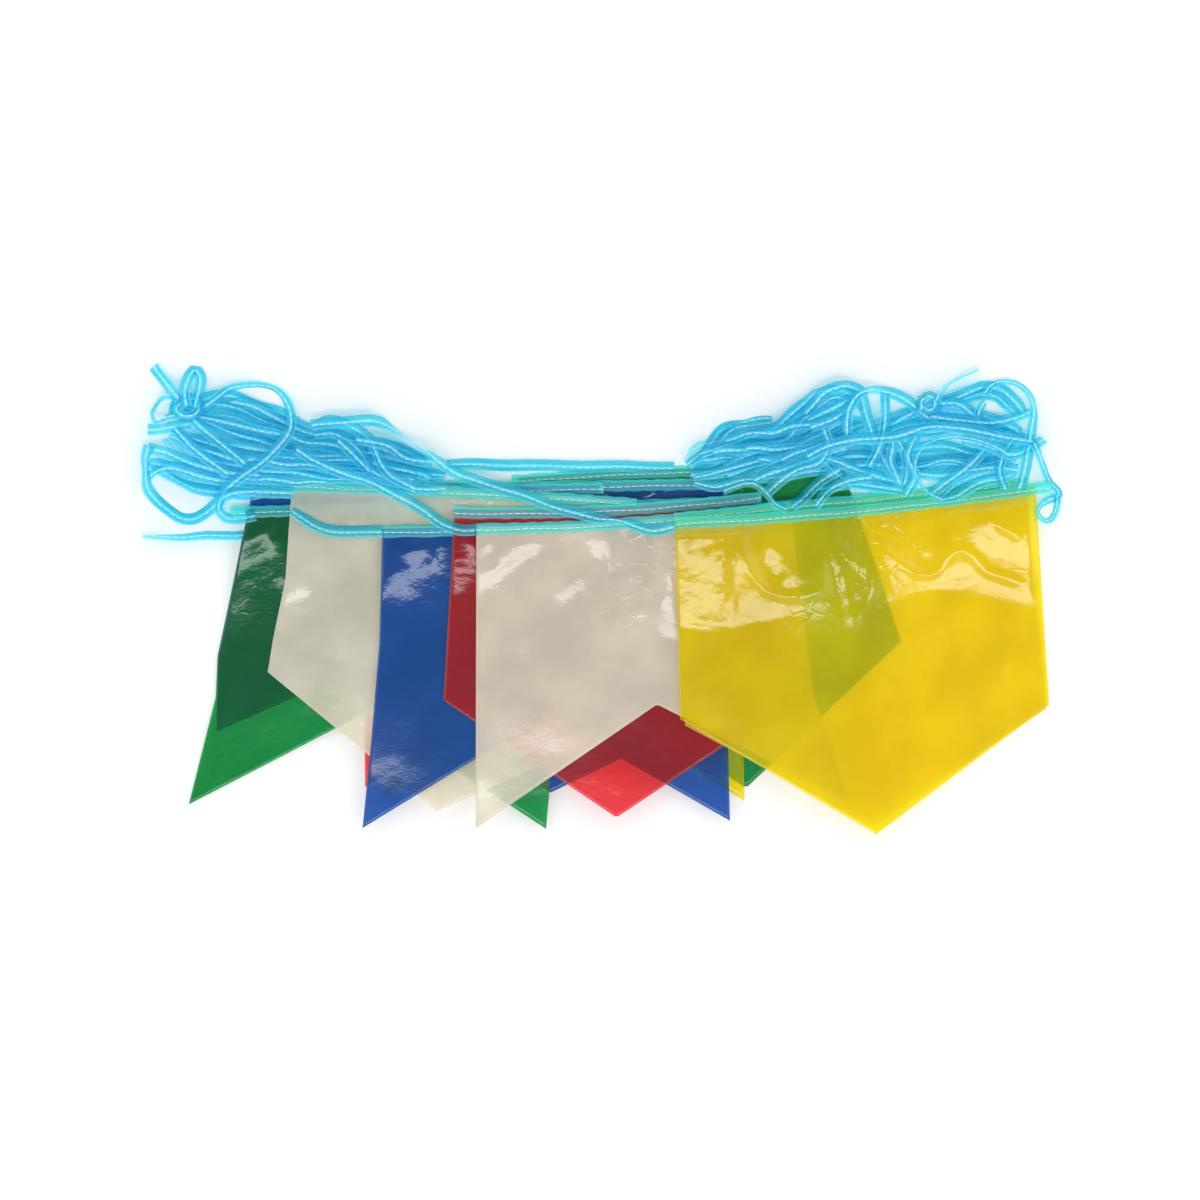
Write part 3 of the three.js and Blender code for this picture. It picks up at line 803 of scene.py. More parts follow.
class Film(Enum):
    """The five colours of film."""

    YELLOW = FilmFinish("film_yellow", (0.27, 0.25, 0.001), (0.6, 0.48, 0.005))
    WHITE = FilmFinish("film_white", (0.52, 0.48, 0.39), (0.23, 0.23, 0.17))
    RED = FilmFinish("film_red", (0.25, 0.01, 0.012), (0.55, 0.04, 0.05))
    BLUE = FilmFinish("film_blue", (0.001, 0.045, 0.2), (0.025, 0.06, 0.2))
    GREEN = FilmFinish("film_green", (0.001, 0.08, 0.022), (0.003, 0.25, 0.06))


# the colour on the pale lines by the seam and at the rims is partly the tape's own and partly painted
# highlight
HEADING_TAPE = TapeFinish(
    "tape_sewn", (0.02, 0.24, 0.28), (0.42, 0.68, 0.6), pale_and_highlight_own=(0.1, 0.34, 0.38), speck=0.35
)
LOOSE_TAPE = TapeFinish(
    "tape_loose", (0.001, 0.1, 0.14), (0.36, 0.72, 0.76), pale_and_highlight_own=(0.15, 0.42, 0.47), speck=0.12
)
THREAD = PlainFinish("thread_white", (0.78, 0.94, 0.95), (0.6, 0.85, 0.9), 0.7, grain=2500, bump=0.3)
FLOOR = PlainFinish("floor_white", (0.96, 0.96, 0.96), (0.95, 0.95, 0.95), 0.9, grain=8)


class Finishes:
    """The materials, made once."""

    def __init__(self) -> None:
        """Builds the node groups and the materials."""
        surface = film_group()
        self.film = {colour: colour.value.material(surface) for colour in Film}
        tape = tape_group()
        self.heading = HEADING_TAPE.material(tape)
        self.loose = LOOSE_TAPE.material(tape)
        self.thread = THREAD.material()
        self.floor = FLOOR.material()


def stitches(
    name: str, x: np.ndarray, y: np.ndarray, z: np.ndarray, table: Table, finishes: Finishes
) -> bpy.types.Object:
    """A sewn line of thread along the top of a tape.

    Args:
        name: The object's name.
        x: Points of the line, in millimetres.
        y: The same, up the surface.
        z: Heights of the tape under them.
        table: The surface.
        finishes: The materials.

    Returns:
        The thread, as one closed mesh.
    """
    length = running(np.hypot(np.diff(x), np.diff(y)))
    pitch, steps, sides, thickness = 4.2, 7, 5, 0.25
    thinnest, sunk = 0.12, 0.75  # where the thread goes through the tape, and how far it lies in it
    count = max(2, round(length[-1] / pitch))
    at = np.linspace(0.0, length[-1], count * steps + 1)
    px, py, pz = (np.interp(at, length, values) for values in (x, y, z))
    turn = np.arange(len(at)) % steps / steps
    show = np.sqrt(np.sin(math.pi * turn))
    thick = thickness * (thinnest + (1 - thinnest) * show)
    thick[[0, -1]] = 0.0
    pz = pz + thickness * (show - sunk)
    slope = np.arctan2(np.gradient(py), np.gradient(px))
    angle = np.linspace(0, 2 * math.pi, sides + 1)[:, None]
    places = table.metres(
        px - np.sin(slope) * np.cos(angle) * thick,
        py + np.cos(slope) * np.cos(angle) * thick,
        pz + np.sin(angle) * thick,
    )
    surface = np.stack(np.broadcast_arrays(at * MM, angle * thickness * MM), axis=-1)
    thread = grid_mesh(name, places, surface, merge=True)
    thread.data.materials.append(finishes.thread)
    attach(thread, "root")
    return thread


@dataclass(frozen=True)
class Pennant:
    """A film pennant and its heading, in the places where they lie.

    The heading's lower edge runs between the two points of top and sinks by bow at its middle, and the
    heading is longer than the film by ends. The sides go down through left and right, and middle is the
    point or the notch of the hem.
    """

    name: str
    colour: Film
    top: tuple[Point, Point]
    bow: float
    ends: Point
    left: tuple[Point, ...]
    middle: Point
    right: tuple[Point, ...]
    creases: tuple[Crease, ...] = ()
    patches: tuple[Patch, ...] = ()
    ramps: tuple[Ramp, ...] = ()
    step: float = 1.7
    gather: float = 0.5
    wave: float = 0.35
    seed: int = 0

    DEPTH = 172.0
    NOTCHED_LESS = 10.0  # how much less deep a notched film is cut
    NOTCH_SHARE = 0.757  # rows of a notched film, as a share of a pointed one's
    GATHER_GAP = (4.5, 10)  # from one gather under the heading to the next
    GATHER_REACH = (4, 20)
    GATHER_WIDTH = (1.3, 2.9)
    GATHER_SLANT = 0.18
    LONG_FOLD = (62, 5)  # size and number of the slow waves
    SHORT_FOLD = (19, 7)
    SHORT_SHARE = 0.16
    DRAPE_ROUNDS = 90  # how far a film smooths what it lies on
    PLEAT = 0.16
    PLEAT_LENGTH = 1.25
    HEADING_STEP = 1.9
    WOBBLE = 0.22  # how far the fold and the edges of a heading run off a straight line
    WOBBLE_LENGTH = 2.1
    SEAM_SHARE = 0.42  # where the seam runs, as a share of the tape's width
    HEADING_PROFILE = (
        (0.0, 0.34), (0.22, 0.36), (0.5, 0.32), (0.8, 0.28), (0.95, 0.18), (1.0, 0.0),
        (0.95, -0.18), (0.8, -0.28), (0.5, -0.32), (0.22, -0.36), (0.03, -0.34),
    )  # round the fold: shares of the tape's width, and heights

    @property
    def width(self) -> float:
        """Length of the film's top edge."""
        return math.dist(*self.top)

    @property
    def pointed(self) -> bool:
        """Whether the hem has a point and not a notch."""
        ends = (self.left[-1][1] + self.right[-1][1]) / 2
        return self.middle[1] < ends

    @property
    def outward(self) -> Point:
        """The direction straight out from the heading."""
        (ax, ay), (bx, by) = self.top
        return ((ay - by) / self.width, (bx - ax) / self.width)

    def edge(self, share: np.ndarray) -> Places:
        """Places on the heading's lower edge at shares of the film's width."""
        (ax, ay), (bx, by) = self.top
        return ax + (bx - ax) * share, ay + (by - ay) * share - 4 * self.bow * share * (1 - share)

    def film(self, across: np.ndarray, down: np.ndarray) -> Places:
        """Places on the film below the heading.

        Args:
            across: Shares of the width, from the left.
            down: Shares of the way from the heading down to the hem.

        Returns:
            The places, in millimetres.
        """
        left = along_line((self.top[0], *self.left), down)
        right = along_line((self.top[1], *self.right), down)
        top = self.edge(across)
        hem = along_halves(self.left[-1], self.middle, self.right[-1], across)
        found = []
        for axis in (0, 1):
            start, end = self.top[0][axis], self.top[1][axis]
            corners = (1 - down) * (start + (end - start) * across)
            corners = corners + down * ((1 - across) * self.left[-1][axis] + across * self.right[-1][axis])
            sides = (1 - across) * left[axis] + across * right[axis]
            found.append(sides + (1 - down) * top[axis] + down * hem[axis] - corners)
        return found[0], found[1]

    def detail(self, x: np.ndarray, y: np.ndarray, across: np.ndarray, below: np.ndarray) -> np.ndarray:
        """The height of the folds: gathers under the heading, creases, crumples and slow waves.

        Args:
            x: Places across the surface, in millimetres.
            y: Places up the surface.
            across: Shares of the pennant's width.
            below: Distances below the heading, in millimetres.

        Returns:
            Heights in millimetres, in the shape of x.
        """
        draw = np.random.default_rng(self.seed)
        added = np.zeros(x.shape)
        place = across * self.width
        at = draw.uniform(1, 5)
        while at < self.width:
            slant, reach = draw.normal(0, self.GATHER_SLANT), draw.uniform(*self.GATHER_REACH)
            size, wide = self.gather * draw.uniform(0.35, 1.5), draw.uniform(*self.GATHER_WIDTH)
            ridge = np.exp(-(((place - at - slant * below) / (wide + 0.09 * below)) ** 2))
            added += size * ridge * np.exp(-((below / reach) ** 1.5))
            at += draw.uniform(*self.GATHER_GAP)
        for form in (*self.creases, *self.ramps):
            added += form.height(x, y)
        for patch in self.patches:
            added += patch.height(x, y, draw)
        added += self.wave * folds(x, y, draw, *self.LONG_FOLD)
        added += self.SHORT_SHARE * self.wave * folds(x, y, draw, *self.SHORT_FOLD)
        return added * np.clip(0.25 + below / 6, 0, 1)

    def places(self, across: np.ndarray) -> tuple[np.ndarray, np.ndarray, np.ndarray]:
        """Where the sheet's points lie: the rows inside the heading first, then those down the film.

        Args:
            across: Shares of the width, one for each column.

        Returns:
            The places in x and in y, and how far below the heading's edge they are.
        """
        rows = round(self.DEPTH / self.step * (1 if self.pointed else self.NOTCH_SHARE))
        out_x, out_y = self.outward
        edge_x, edge_y = self.edge(across)
        rises = np.array(TAPE_ROWS)[:, None]
        down = np.linspace(0, 1, rows + 1)[1:, None]
        film_x, film_y = self.film(across[None, :], down)
        sewn = np.broadcast_to(-rises, (len(rises), len(across)))
        return (
            np.vstack((edge_x + out_x * rises, film_x)),
            np.vstack((edge_y + out_y * rises, film_y)),
            np.vstack((sewn, np.hypot(film_x - edge_x, film_y - edge_y))),
        )

    def drape(
        self, table: Table, pile: Pile, across: np.ndarray, x: np.ndarray, y: np.ndarray, below: np.ndarray
    ) -> np.ndarray:
        """The heights of the sheet's points, as it lies over its solid and all that is under it.

        Args:
            table: The surface and its solids.
            pile: What is laid so far.
            across: Shares of the width, one for each column.
            x: The points' places, as from places().
            y: The same, up the surface.
            below: How far below the heading's edge they are.

        Returns:
            Heights in millimetres, in the shape of x.
        """
        sewn = len(TAPE_ROWS)
        base = np.vstack((
            table.top(f"heading_{self.name}", x[:sewn], y[:sewn]) - TAPE_SOLID / 2,
            table.top(f"pennant_{self.name}", x[sewn:], y[sewn:]) - FILM_SOLID / 2,
        ))
        room = np.full(x.shape, CLEARANCE)
        room[:sewn] += LEAF_RISE
        floor = pile.under(x, y) + room
        z = smoothed(np.maximum(base, floor), self.DRAPE_ROUNDS, floor)
        z = z + self.detail(x, y, np.broadcast_to(across, x.shape), np.maximum(below, 0))
        pleats = self.PLEAT * np.sin(across * self.width / self.PLEAT_LENGTH + 2 * np.sin(across * 9))
        z[:sewn] += pleats * np.linspace(0.2, 1, sewn)[:, None]
        return smoothed(np.maximum(z, floor), 2, floor)

    def lay(self, table: Table, pile: Pile, finishes: Finishes, under: str) -> None:
        """Lays the pennant and its heading on the pile.

        Args:
            table: The surface and its solids.
            pile: What is laid so far.
            finishes: The materials.
            under: The name of what it lies on; not used.
        """
        across = np.linspace(0, 1, round(self.width / self.step) + 1)
        x, y, below = self.places(across)
        z = self.drape(table, pile, across, x, y, below)
        sewn = len(TAPE_ROWS)
        surface = np.stack(np.broadcast_arrays(across * self.width, below), axis=-1) * MM
        film = grid_mesh(f"film_{self.name}", table.metres(x, y, z)[1:], surface[1:])
        film.data.materials.append(finishes.film[self.colour])
        thicken(film, FILM_SHELL)
        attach(film, "root")
        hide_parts(f"pennant_{self.name}")
        heading, thread = self.heading(table, across, z[:sewn], finishes)
        pile.cover(x[:sewn], y[:sewn], z[:sewn] + LEAF_RISE)
        pile.cover(x[sewn - 1:], y[sewn - 1:], z[sewn - 1:] + FILM_SHELL)
        LOG.info("laid pennant %s: %d rows of %d, top at %.1f mm", self.name, *z.shape, z.max())

    def heading(
        self, table: Table, across: np.ndarray, z: np.ndarray, finishes: Finishes
    ) -> tuple[bpy.types.Object, bpy.types.Object]:
        """The tape that is folded over the film's top edge, and its line of stitches.

        Args:
            table: The surface.
            across: Shares of the width of the columns of z.
            z: Heights of the fold's middle, a row for each of TAPE_ROWS.
            finishes: The materials.

        Returns:
            The tape and the thread.
        """
        length = self.width + sum(self.ends)
        start, end = -self.ends[0] / self.width, 1 + self.ends[1] / self.width
        share = np.linspace(start, end, round(length / self.HEADING_STEP) + 1)
        edge_x, edge_y = self.edge(share)
        out_x, out_y = self.outward
        rows = np.array([np.interp(share, across, row) for row in z])[::-1]
        profile = np.array(self.HEADING_PROFILE)
        outs = profile[:, 0] * TAPE_WIDTH
        heights = np.array([
            [np.interp(out, TAPE_ROWS[::-1], rows[:, at]) for at in range(len(share))] for out in outs
        ]) + profile[:, 1:]
        place = share * self.width / self.WOBBLE_LENGTH
        wobble = self.WOBBLE * np.sin(place + 3 * np.sin(share * 13 + self.seed))
        reach = outs[:, None] + wobble * (np.abs(profile[:, 0:1] - 0.5) * 2)
        places = table.metres(edge_x + out_x * reach, edge_y + out_y * reach, heights)
        unfolded = np.linspace(0, FLAT_TAPE, len(profile))[:, None]
        surface = np.stack(np.broadcast_arrays(unfolded, share * self.width), axis=-1) * MM
        tape = grid_mesh(f"tape_heading_{self.name}", places, surface)
        tape.data.materials.append(finishes.heading)
        thicken(tape, TAPE_SHELL)
        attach(tape, "root")
        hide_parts(f"heading_{self.name}")
        seam = self.SEAM_SHARE * TAPE_WIDTH + 0.25 * np.sin(share * 23 + self.seed)
        on_top = np.array([np.interp(seam[at], TAPE_ROWS[::-1], rows[:, at]) for at in range(len(share))])
        thread = stitches(
            f"stitches_{self.name}",
            edge_x + out_x * seam,
            edge_y + out_y * seam,
            on_top + self.HEADING_PROFILE[0][1] + TAPE_SHELL / 2,
            table,
            finishes,
        )
        return tape, thread


def along_line(line: Sequence[Point], share: np.ndarray) -> Places:
    """The places at shares of the length of a line of points.

    Args:
        line: The points.
        share: Shares of the line's length.

    Returns:
        The places in x and in y.
    """
    points = np.array(line, float)
    length = running(step_lengths(points))
    at = share * length[-1]
    return np.interp(at, length, points[:, 0]), np.interp(at, length, points[:, 1])


def along_halves(start: Point, middle: Point, end: Point, share: np.ndarray) -> Places:
    """The places on a line of two straight halves, each of which takes half of the shares."""
    shares = (0.0, 0.5, 1.0)
    return tuple(np.interp(share, shares, (start[axis], middle[axis], end[axis])) for axis in (0, 1))


def smooth_route(points: Sequence[tuple[float, ...]], step: float) -> np.ndarray:
    """A smooth line through points of place and roll, in even steps.

    Args:
        points: Rows of x, y and any further values.
        step: Length of a step, in millimetres.

    Returns:
        Rows of the same values.
    """
    known = np.array(points, float)
    gaps = np.sqrt(step_lengths(known[:, :2]))
    knots = running(gaps)
    slopes = np.diff(known, axis=0) / gaps[:, None]
    bends = np.empty_like(known)
    bends[[0, -1]] = slopes[[0, -1]]
    before, after = gaps[:-1, None], gaps[1:, None]
    bends[1:-1] = (slopes[:-1] * after + slopes[1:] * before) / (before + after)
    fine = np.linspace(0, knots[-1], 16 * len(known))
    part = np.clip(np.searchsorted(knots, fine, side="right") - 1, 0, len(gaps) - 1)
    gap = gaps[part][:, None]
    t = ((fine - knots[part])[:, None]) / gap
    line = (
        (2 * t**3 - 3 * t**2 + 1) * known[part]
        + (t**3 - 2 * t**2 + t) * gap * bends[part]
        + (3 * t**2 - 2 * t**3) * known[part + 1]
        + (t**3 - t**2) * gap * bends[part + 1]
    )
    length = running(step_lengths(line[:, :2]))
    at = np.linspace(0, length[-1], max(4, round(length[-1] / step)) + 1)
    return np.stack([np.interp(at, length, line[:, column]) for column in range(line.shape[1])], axis=1)


@dataclass(frozen=True)
class Ribbon:
    """A loose length of folded tape: its route of x, y and roll in degrees, and its own unevenness."""

    route: Route
    seed: int = 0
    wobble: float = 0.0
    roll_wobble: float = 0.0
    width: float = TAPE_WIDTH

    CLEAR = 0.2  # space that it keeps to what lies under it
    LEAF = 0.45  # how far a leaf of the tape stands from the ribbon's middle
    EASE = 12  # how far from its ends the ribbon starts to wander
    WANDER = (24, 60)  # lengths of its waves
    SETTLE_ROUNDS = 26
    CURL = 0.25  # how far the leaves open and close along the ribbon
    CURL_LENGTH = 5.3
    RIPPLE = 0.25  # how far its edges rise and fall
    RIPPLE_LENGTH = 2.3
    SEAM = (0.08, 0.36)  # share of the width from the middle, and height
    OPEN_PROFILE = (
        (0.5, 0.1), (0.33, -0.12), (0.16, 0.16), (0.0, -0.1), (-0.16, 0.14), (-0.33, -0.1), (-0.5, 0.1),
    )
    PROFILE = (
        (0.5, 0.34), (0.1, 0.38), (-0.33, 0.26), (-0.5, 0.0), (-0.33, -0.26), (0.1, -0.38), (0.48, -0.34),
    )

    def stations(self) -> np.ndarray:
        """Rows of x, y and roll along the ribbon, uneven as loose tape is.

        Returns:
            Rows of x, y and roll, a step apart.
        """
        draw = np.random.default_rng(self.seed)
        line = smooth_route(self.route, RIBBON_STEP)
        at = np.arange(len(line)) * RIBBON_STEP
        ease = np.minimum(1, np.minimum(at, at[::-1]) / self.EASE)
        for column, size in ((0, self.wobble), (1, self.wobble), (2, self.roll_wobble)):
            wave, phase = draw.uniform(*self.WANDER), draw.uniform(0, 2 * math.pi)
            line[:, column] += size * ease * np.sin(2 * math.pi * at / wave + phase)
        return line

    def heights(self, line: np.ndarray, side: np.ndarray, pile: Pile) -> np.ndarray:
        """The height of the ribbon's middle, as it lies over all that is under it.

        Args:
            line: Rows of x, y and roll.
            side: The way to the ribbon's right at each row.
            pile: What is laid so far.

        Returns:
            The height at each row, in millimetres.
        """
        roll = np.radians(line[:, 2])
        half = self.width / 2
        across = np.linspace(-1, 1, 5)[:, None] * half * np.abs(np.cos(roll))
        under = pile.under(line[:, 0] + side[:, 0] * across, line[:, 1] + side[:, 1] * across).max(axis=0)
        low = under + self.CLEAR + half * np.abs(np.sin(roll)) + self.LEAF
        z = low[None, :]
        return smoothed(z, self.SETTLE_ROUNDS, z)[0]

    def lay(
        self, name: str, table: Table, pile: Pile, finishes: Finishes
    ) -> tuple[list[bpy.types.Object], np.ndarray]:
        """Lays the ribbon on the pile.

        Args:
            name: The ribbon's name.
            table: The surface.
            pile: What is laid so far.
            finishes: The materials.

        Returns:
            The tape and its thread, and the ribbon's steps in x, y and z, in millimetres.
        """
        line = self.stations()
        ahead = directions(line[:, :2])
        side = np.stack((ahead[:, 1], -ahead[:, 0]), axis=1)
        z = self.heights(line, side, pile)
        centre = np.column_stack((line[:, :2], z))
        points, surface, seam = self.shell(centre, side, np.radians(line[:, 2])[:, None])
        tape = grid_mesh(name, table.metres(*np.moveaxis(points, -1, 0)), surface)
        tape.data.materials.append(finishes.loose)
        thread = stitches(f"{name}_stitches", *seam.T, table, finishes)
        self.cover(line, side, z, pile)
        return [tape, thread], np.diff(centre, axis=0)

    def shell(self, centre: np.ndarray, side: np.ndarray, roll: np.ndarray) -> tuple[np.ndarray, ...]:
        """The ribbon's shell round its middle line, and the line of its seam.

        Args:
            centre: Rows of x, y and z.
            side: The way to the ribbon's right at each row.
            roll: Its roll at each row, in radians.

        Returns:
            The shell's points, their places on the flat tape, in metres, and the seam's points.
        """
        run = directions(centre)
        flat = np.column_stack((side, np.zeros(len(side))))
        up = np.cross(flat, run)
        wide = flat * np.cos(roll) + up * np.sin(roll)
        normal = up * np.cos(roll) - flat * np.sin(roll)
        length = running(step_lengths(centre))
        profile = np.array(self.PROFILE if self.width == TAPE_WIDTH else self.OPEN_PROFILE)
        curl = 1 + self.CURL * np.sin(length / self.CURL_LENGTH + self.seed)[None, :, None]
        reach = profile[:, 0][:, None, None] * self.width
        lift = profile[:, 1][:, None, None] * curl
        ripple = self.RIPPLE * np.sin(length / self.RIPPLE_LENGTH + 2 * np.sin(length / 7))[None, :, None]
        rim = np.abs(profile[:, 0])[:, None, None] * ripple
        points = centre[None] + wide[None] * reach + normal[None] * (lift + rim)
        unfolded = np.linspace(0, FLAT_TAPE, len(profile))[:, None]
        surface = np.stack(np.broadcast_arrays(unfolded, length[None, :]), axis=-1) * MM
        aside, lifted = self.SEAM
        seam = centre + wide * aside * self.width + normal * (lifted * curl[0] + TAPE_SHELL)
        return points, surface, seam

    def cover(self, line: np.ndarray, side: np.ndarray, z: np.ndarray, pile: Pile) -> None:
        """Adds the ribbon's top to the pile.

        Args:
            line: Rows of x, y and roll.
            side: The way to the ribbon's right at each row.
            z: The height of its middle at each row.
            pile: What is laid so far.
        """
        roll = np.radians(line[:, 2])
        reach = np.linspace(-1, 1, 9)[:, None] * self.width / 2
        aside = reach * np.cos(roll)
        top = z + reach * np.sin(roll) + self.LEAF
        pile.cover(line[:, 0] + side[:, 0] * aside, line[:, 1] + side[:, 1] * aside, top)


@dataclass(frozen=True)
class Course:
    """Some turns of tape that take one way through a hank, side by side and partly over each other."""

    name: str
    turns: int
    spread: float
    route: Route
    open_turns: int = 0

    OPEN_WIDTH = 11.5
    END_ROLL = 62.0  # degrees, so that a cut end shows its edge
    ROUTE_STEP = 9

    def ribbons(self, seed: int) -> list[Ribbon]:
        """The ribbons of the course, the lowest first: turns that have fallen open, then the folded ones.

        Args:
            seed: Where the turns' unevenness comes from.

        Returns:
            The ribbons, in order.
        """
        if self.turns == 1:
            return [Ribbon(self.route, seed)]
        draw = np.random.default_rng(seed)
        found = []
        for turn in range(self.open_turns):
            place = self.spread * 0.75 * (2 * (turn + 0.5) / self.open_turns - 1)
            route = self.beside(place, draw.uniform(-8, 8), draw)
            found.append(Ribbon(route, seed * 17 + turn, 0.6, 6, width=self.OPEN_WIDTH))
        for turn in draw.permutation(self.turns):
            place = self.spread * (2 * turn / (self.turns - 1) - 1)
            route = self.beside(place, draw.uniform(-22, 22), draw)
            found.append(Ribbon(route, seed * 31 + int(turn), 0.7, 16))
        return found

    def beside(self, place: float, roll: float, draw: np.random.Generator) -> tuple[tuple[float, ...], ...]:
        """One turn's own way along the course.

        Args:
            place: How far it lies to the right of the course, in millimetres.
            roll: How far it is rolled more than the course, in degrees.
            draw: Where its sway and its ends come from.

        Returns:
            Rows of x, y and roll.
        """
        line = smooth_route(self.route, self.ROUTE_STEP)
        ahead = directions(line[:, :2])
        share = np.linspace(0, 1, len(line))
        sway = self.spread * 0.55 * np.sin(draw.uniform(1.5, 5) * share + draw.uniform(0, 6.3))
        aside = (place + sway) * (1 - 0.8 * np.abs(2 * share - 1) ** 3)
        x, y = line[:, 0] + ahead[:, 1] * aside, line[:, 1] - ahead[:, 0] * aside
        rows = np.stack((x, y, line[:, 2] + roll), axis=1)
        spare = max(0, len(rows) - 6)
        first, last = draw.integers(0, min(2, spare) + 1), draw.integers(0, min(2, spare) + 1)
        kept = rows[first:len(rows) - last]
        kept[[0, -1], 2] = math.copysign(self.END_ROLL, roll)
        return tuple(map(tuple, kept))


@dataclass(frozen=True)
class Hank:
    """The spare tape at one end of the bundle: many turns that are one piece."""

    name: str
    nodes: tuple[str, ...]
    courses: tuple[Course, ...]
    seed: int

    def lay(self, table: Table, pile: Pile, finishes: Finishes) -> None:
        """Lays the hank's turns, one after another, joins them and presses them to the solid's height.

        Args:
            table: The surface.
            pile: What is laid so far.
            finishes: The materials.
        """
        tapes, threads, steps = [], [], []
        before = pile.tops.copy()
        for number, course in enumerate(self.courses):
            for turn, ribbon in enumerate(course.ribbons(self.seed + number)):
                (tape, thread), run = ribbon.lay(f"{self.name}_{course.name}_{turn}", table, pile, finishes)
                tapes.append(tape)
                threads.append(thread)
                steps.append(run)
        tape = joined(self.name, tapes)
        tape.data.materials.append(finishes.loose)
        thread = joined(f"{self.name}_stitches", threads)
        thread.data.materials.append(finishes.thread)
        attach(thread, "root")
        ground, share = pile.press(before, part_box(self.nodes[0])[1].z / MM)
        for piece in (tape, thread):
            table.press(piece.data, pile, ground, share)
        dress_tape(tape, self.nodes)


def dress_tape(
    tape: bpy.types.Object,
    nodes: tuple[str, ...],
) -> None:
    """Finishes a loose tape: its thickness, what it rides on, and the CAD nodes that it stands for, which it
    hides.

    Args:
        tape: The tape's mesh.
        nodes: The CAD nodes that it stands for.
    """
    thicken(tape, TAPE_SHELL)
    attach(tape, "root")
    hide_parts(*nodes)


@dataclass(frozen=True)
class LooseTape:
    """One loose run or end of tape outside the hanks."""

    name: str
    node: str
    route: Route
    seed: int = 0

    def lay(self, table: Table, pile: Pile, finishes: Finishes) -> None:
        """Lays the tape over what is there.

        Args:
            table: The surface.
            pile: What is laid so far.
            finishes: The materials.
        """
        ribbon = Ribbon(self.route, self.seed, 0.25, 5)
        (tape, thread), run = ribbon.lay(self.name, table, pile, finishes)
        dress_tape(tape, (self.node,))


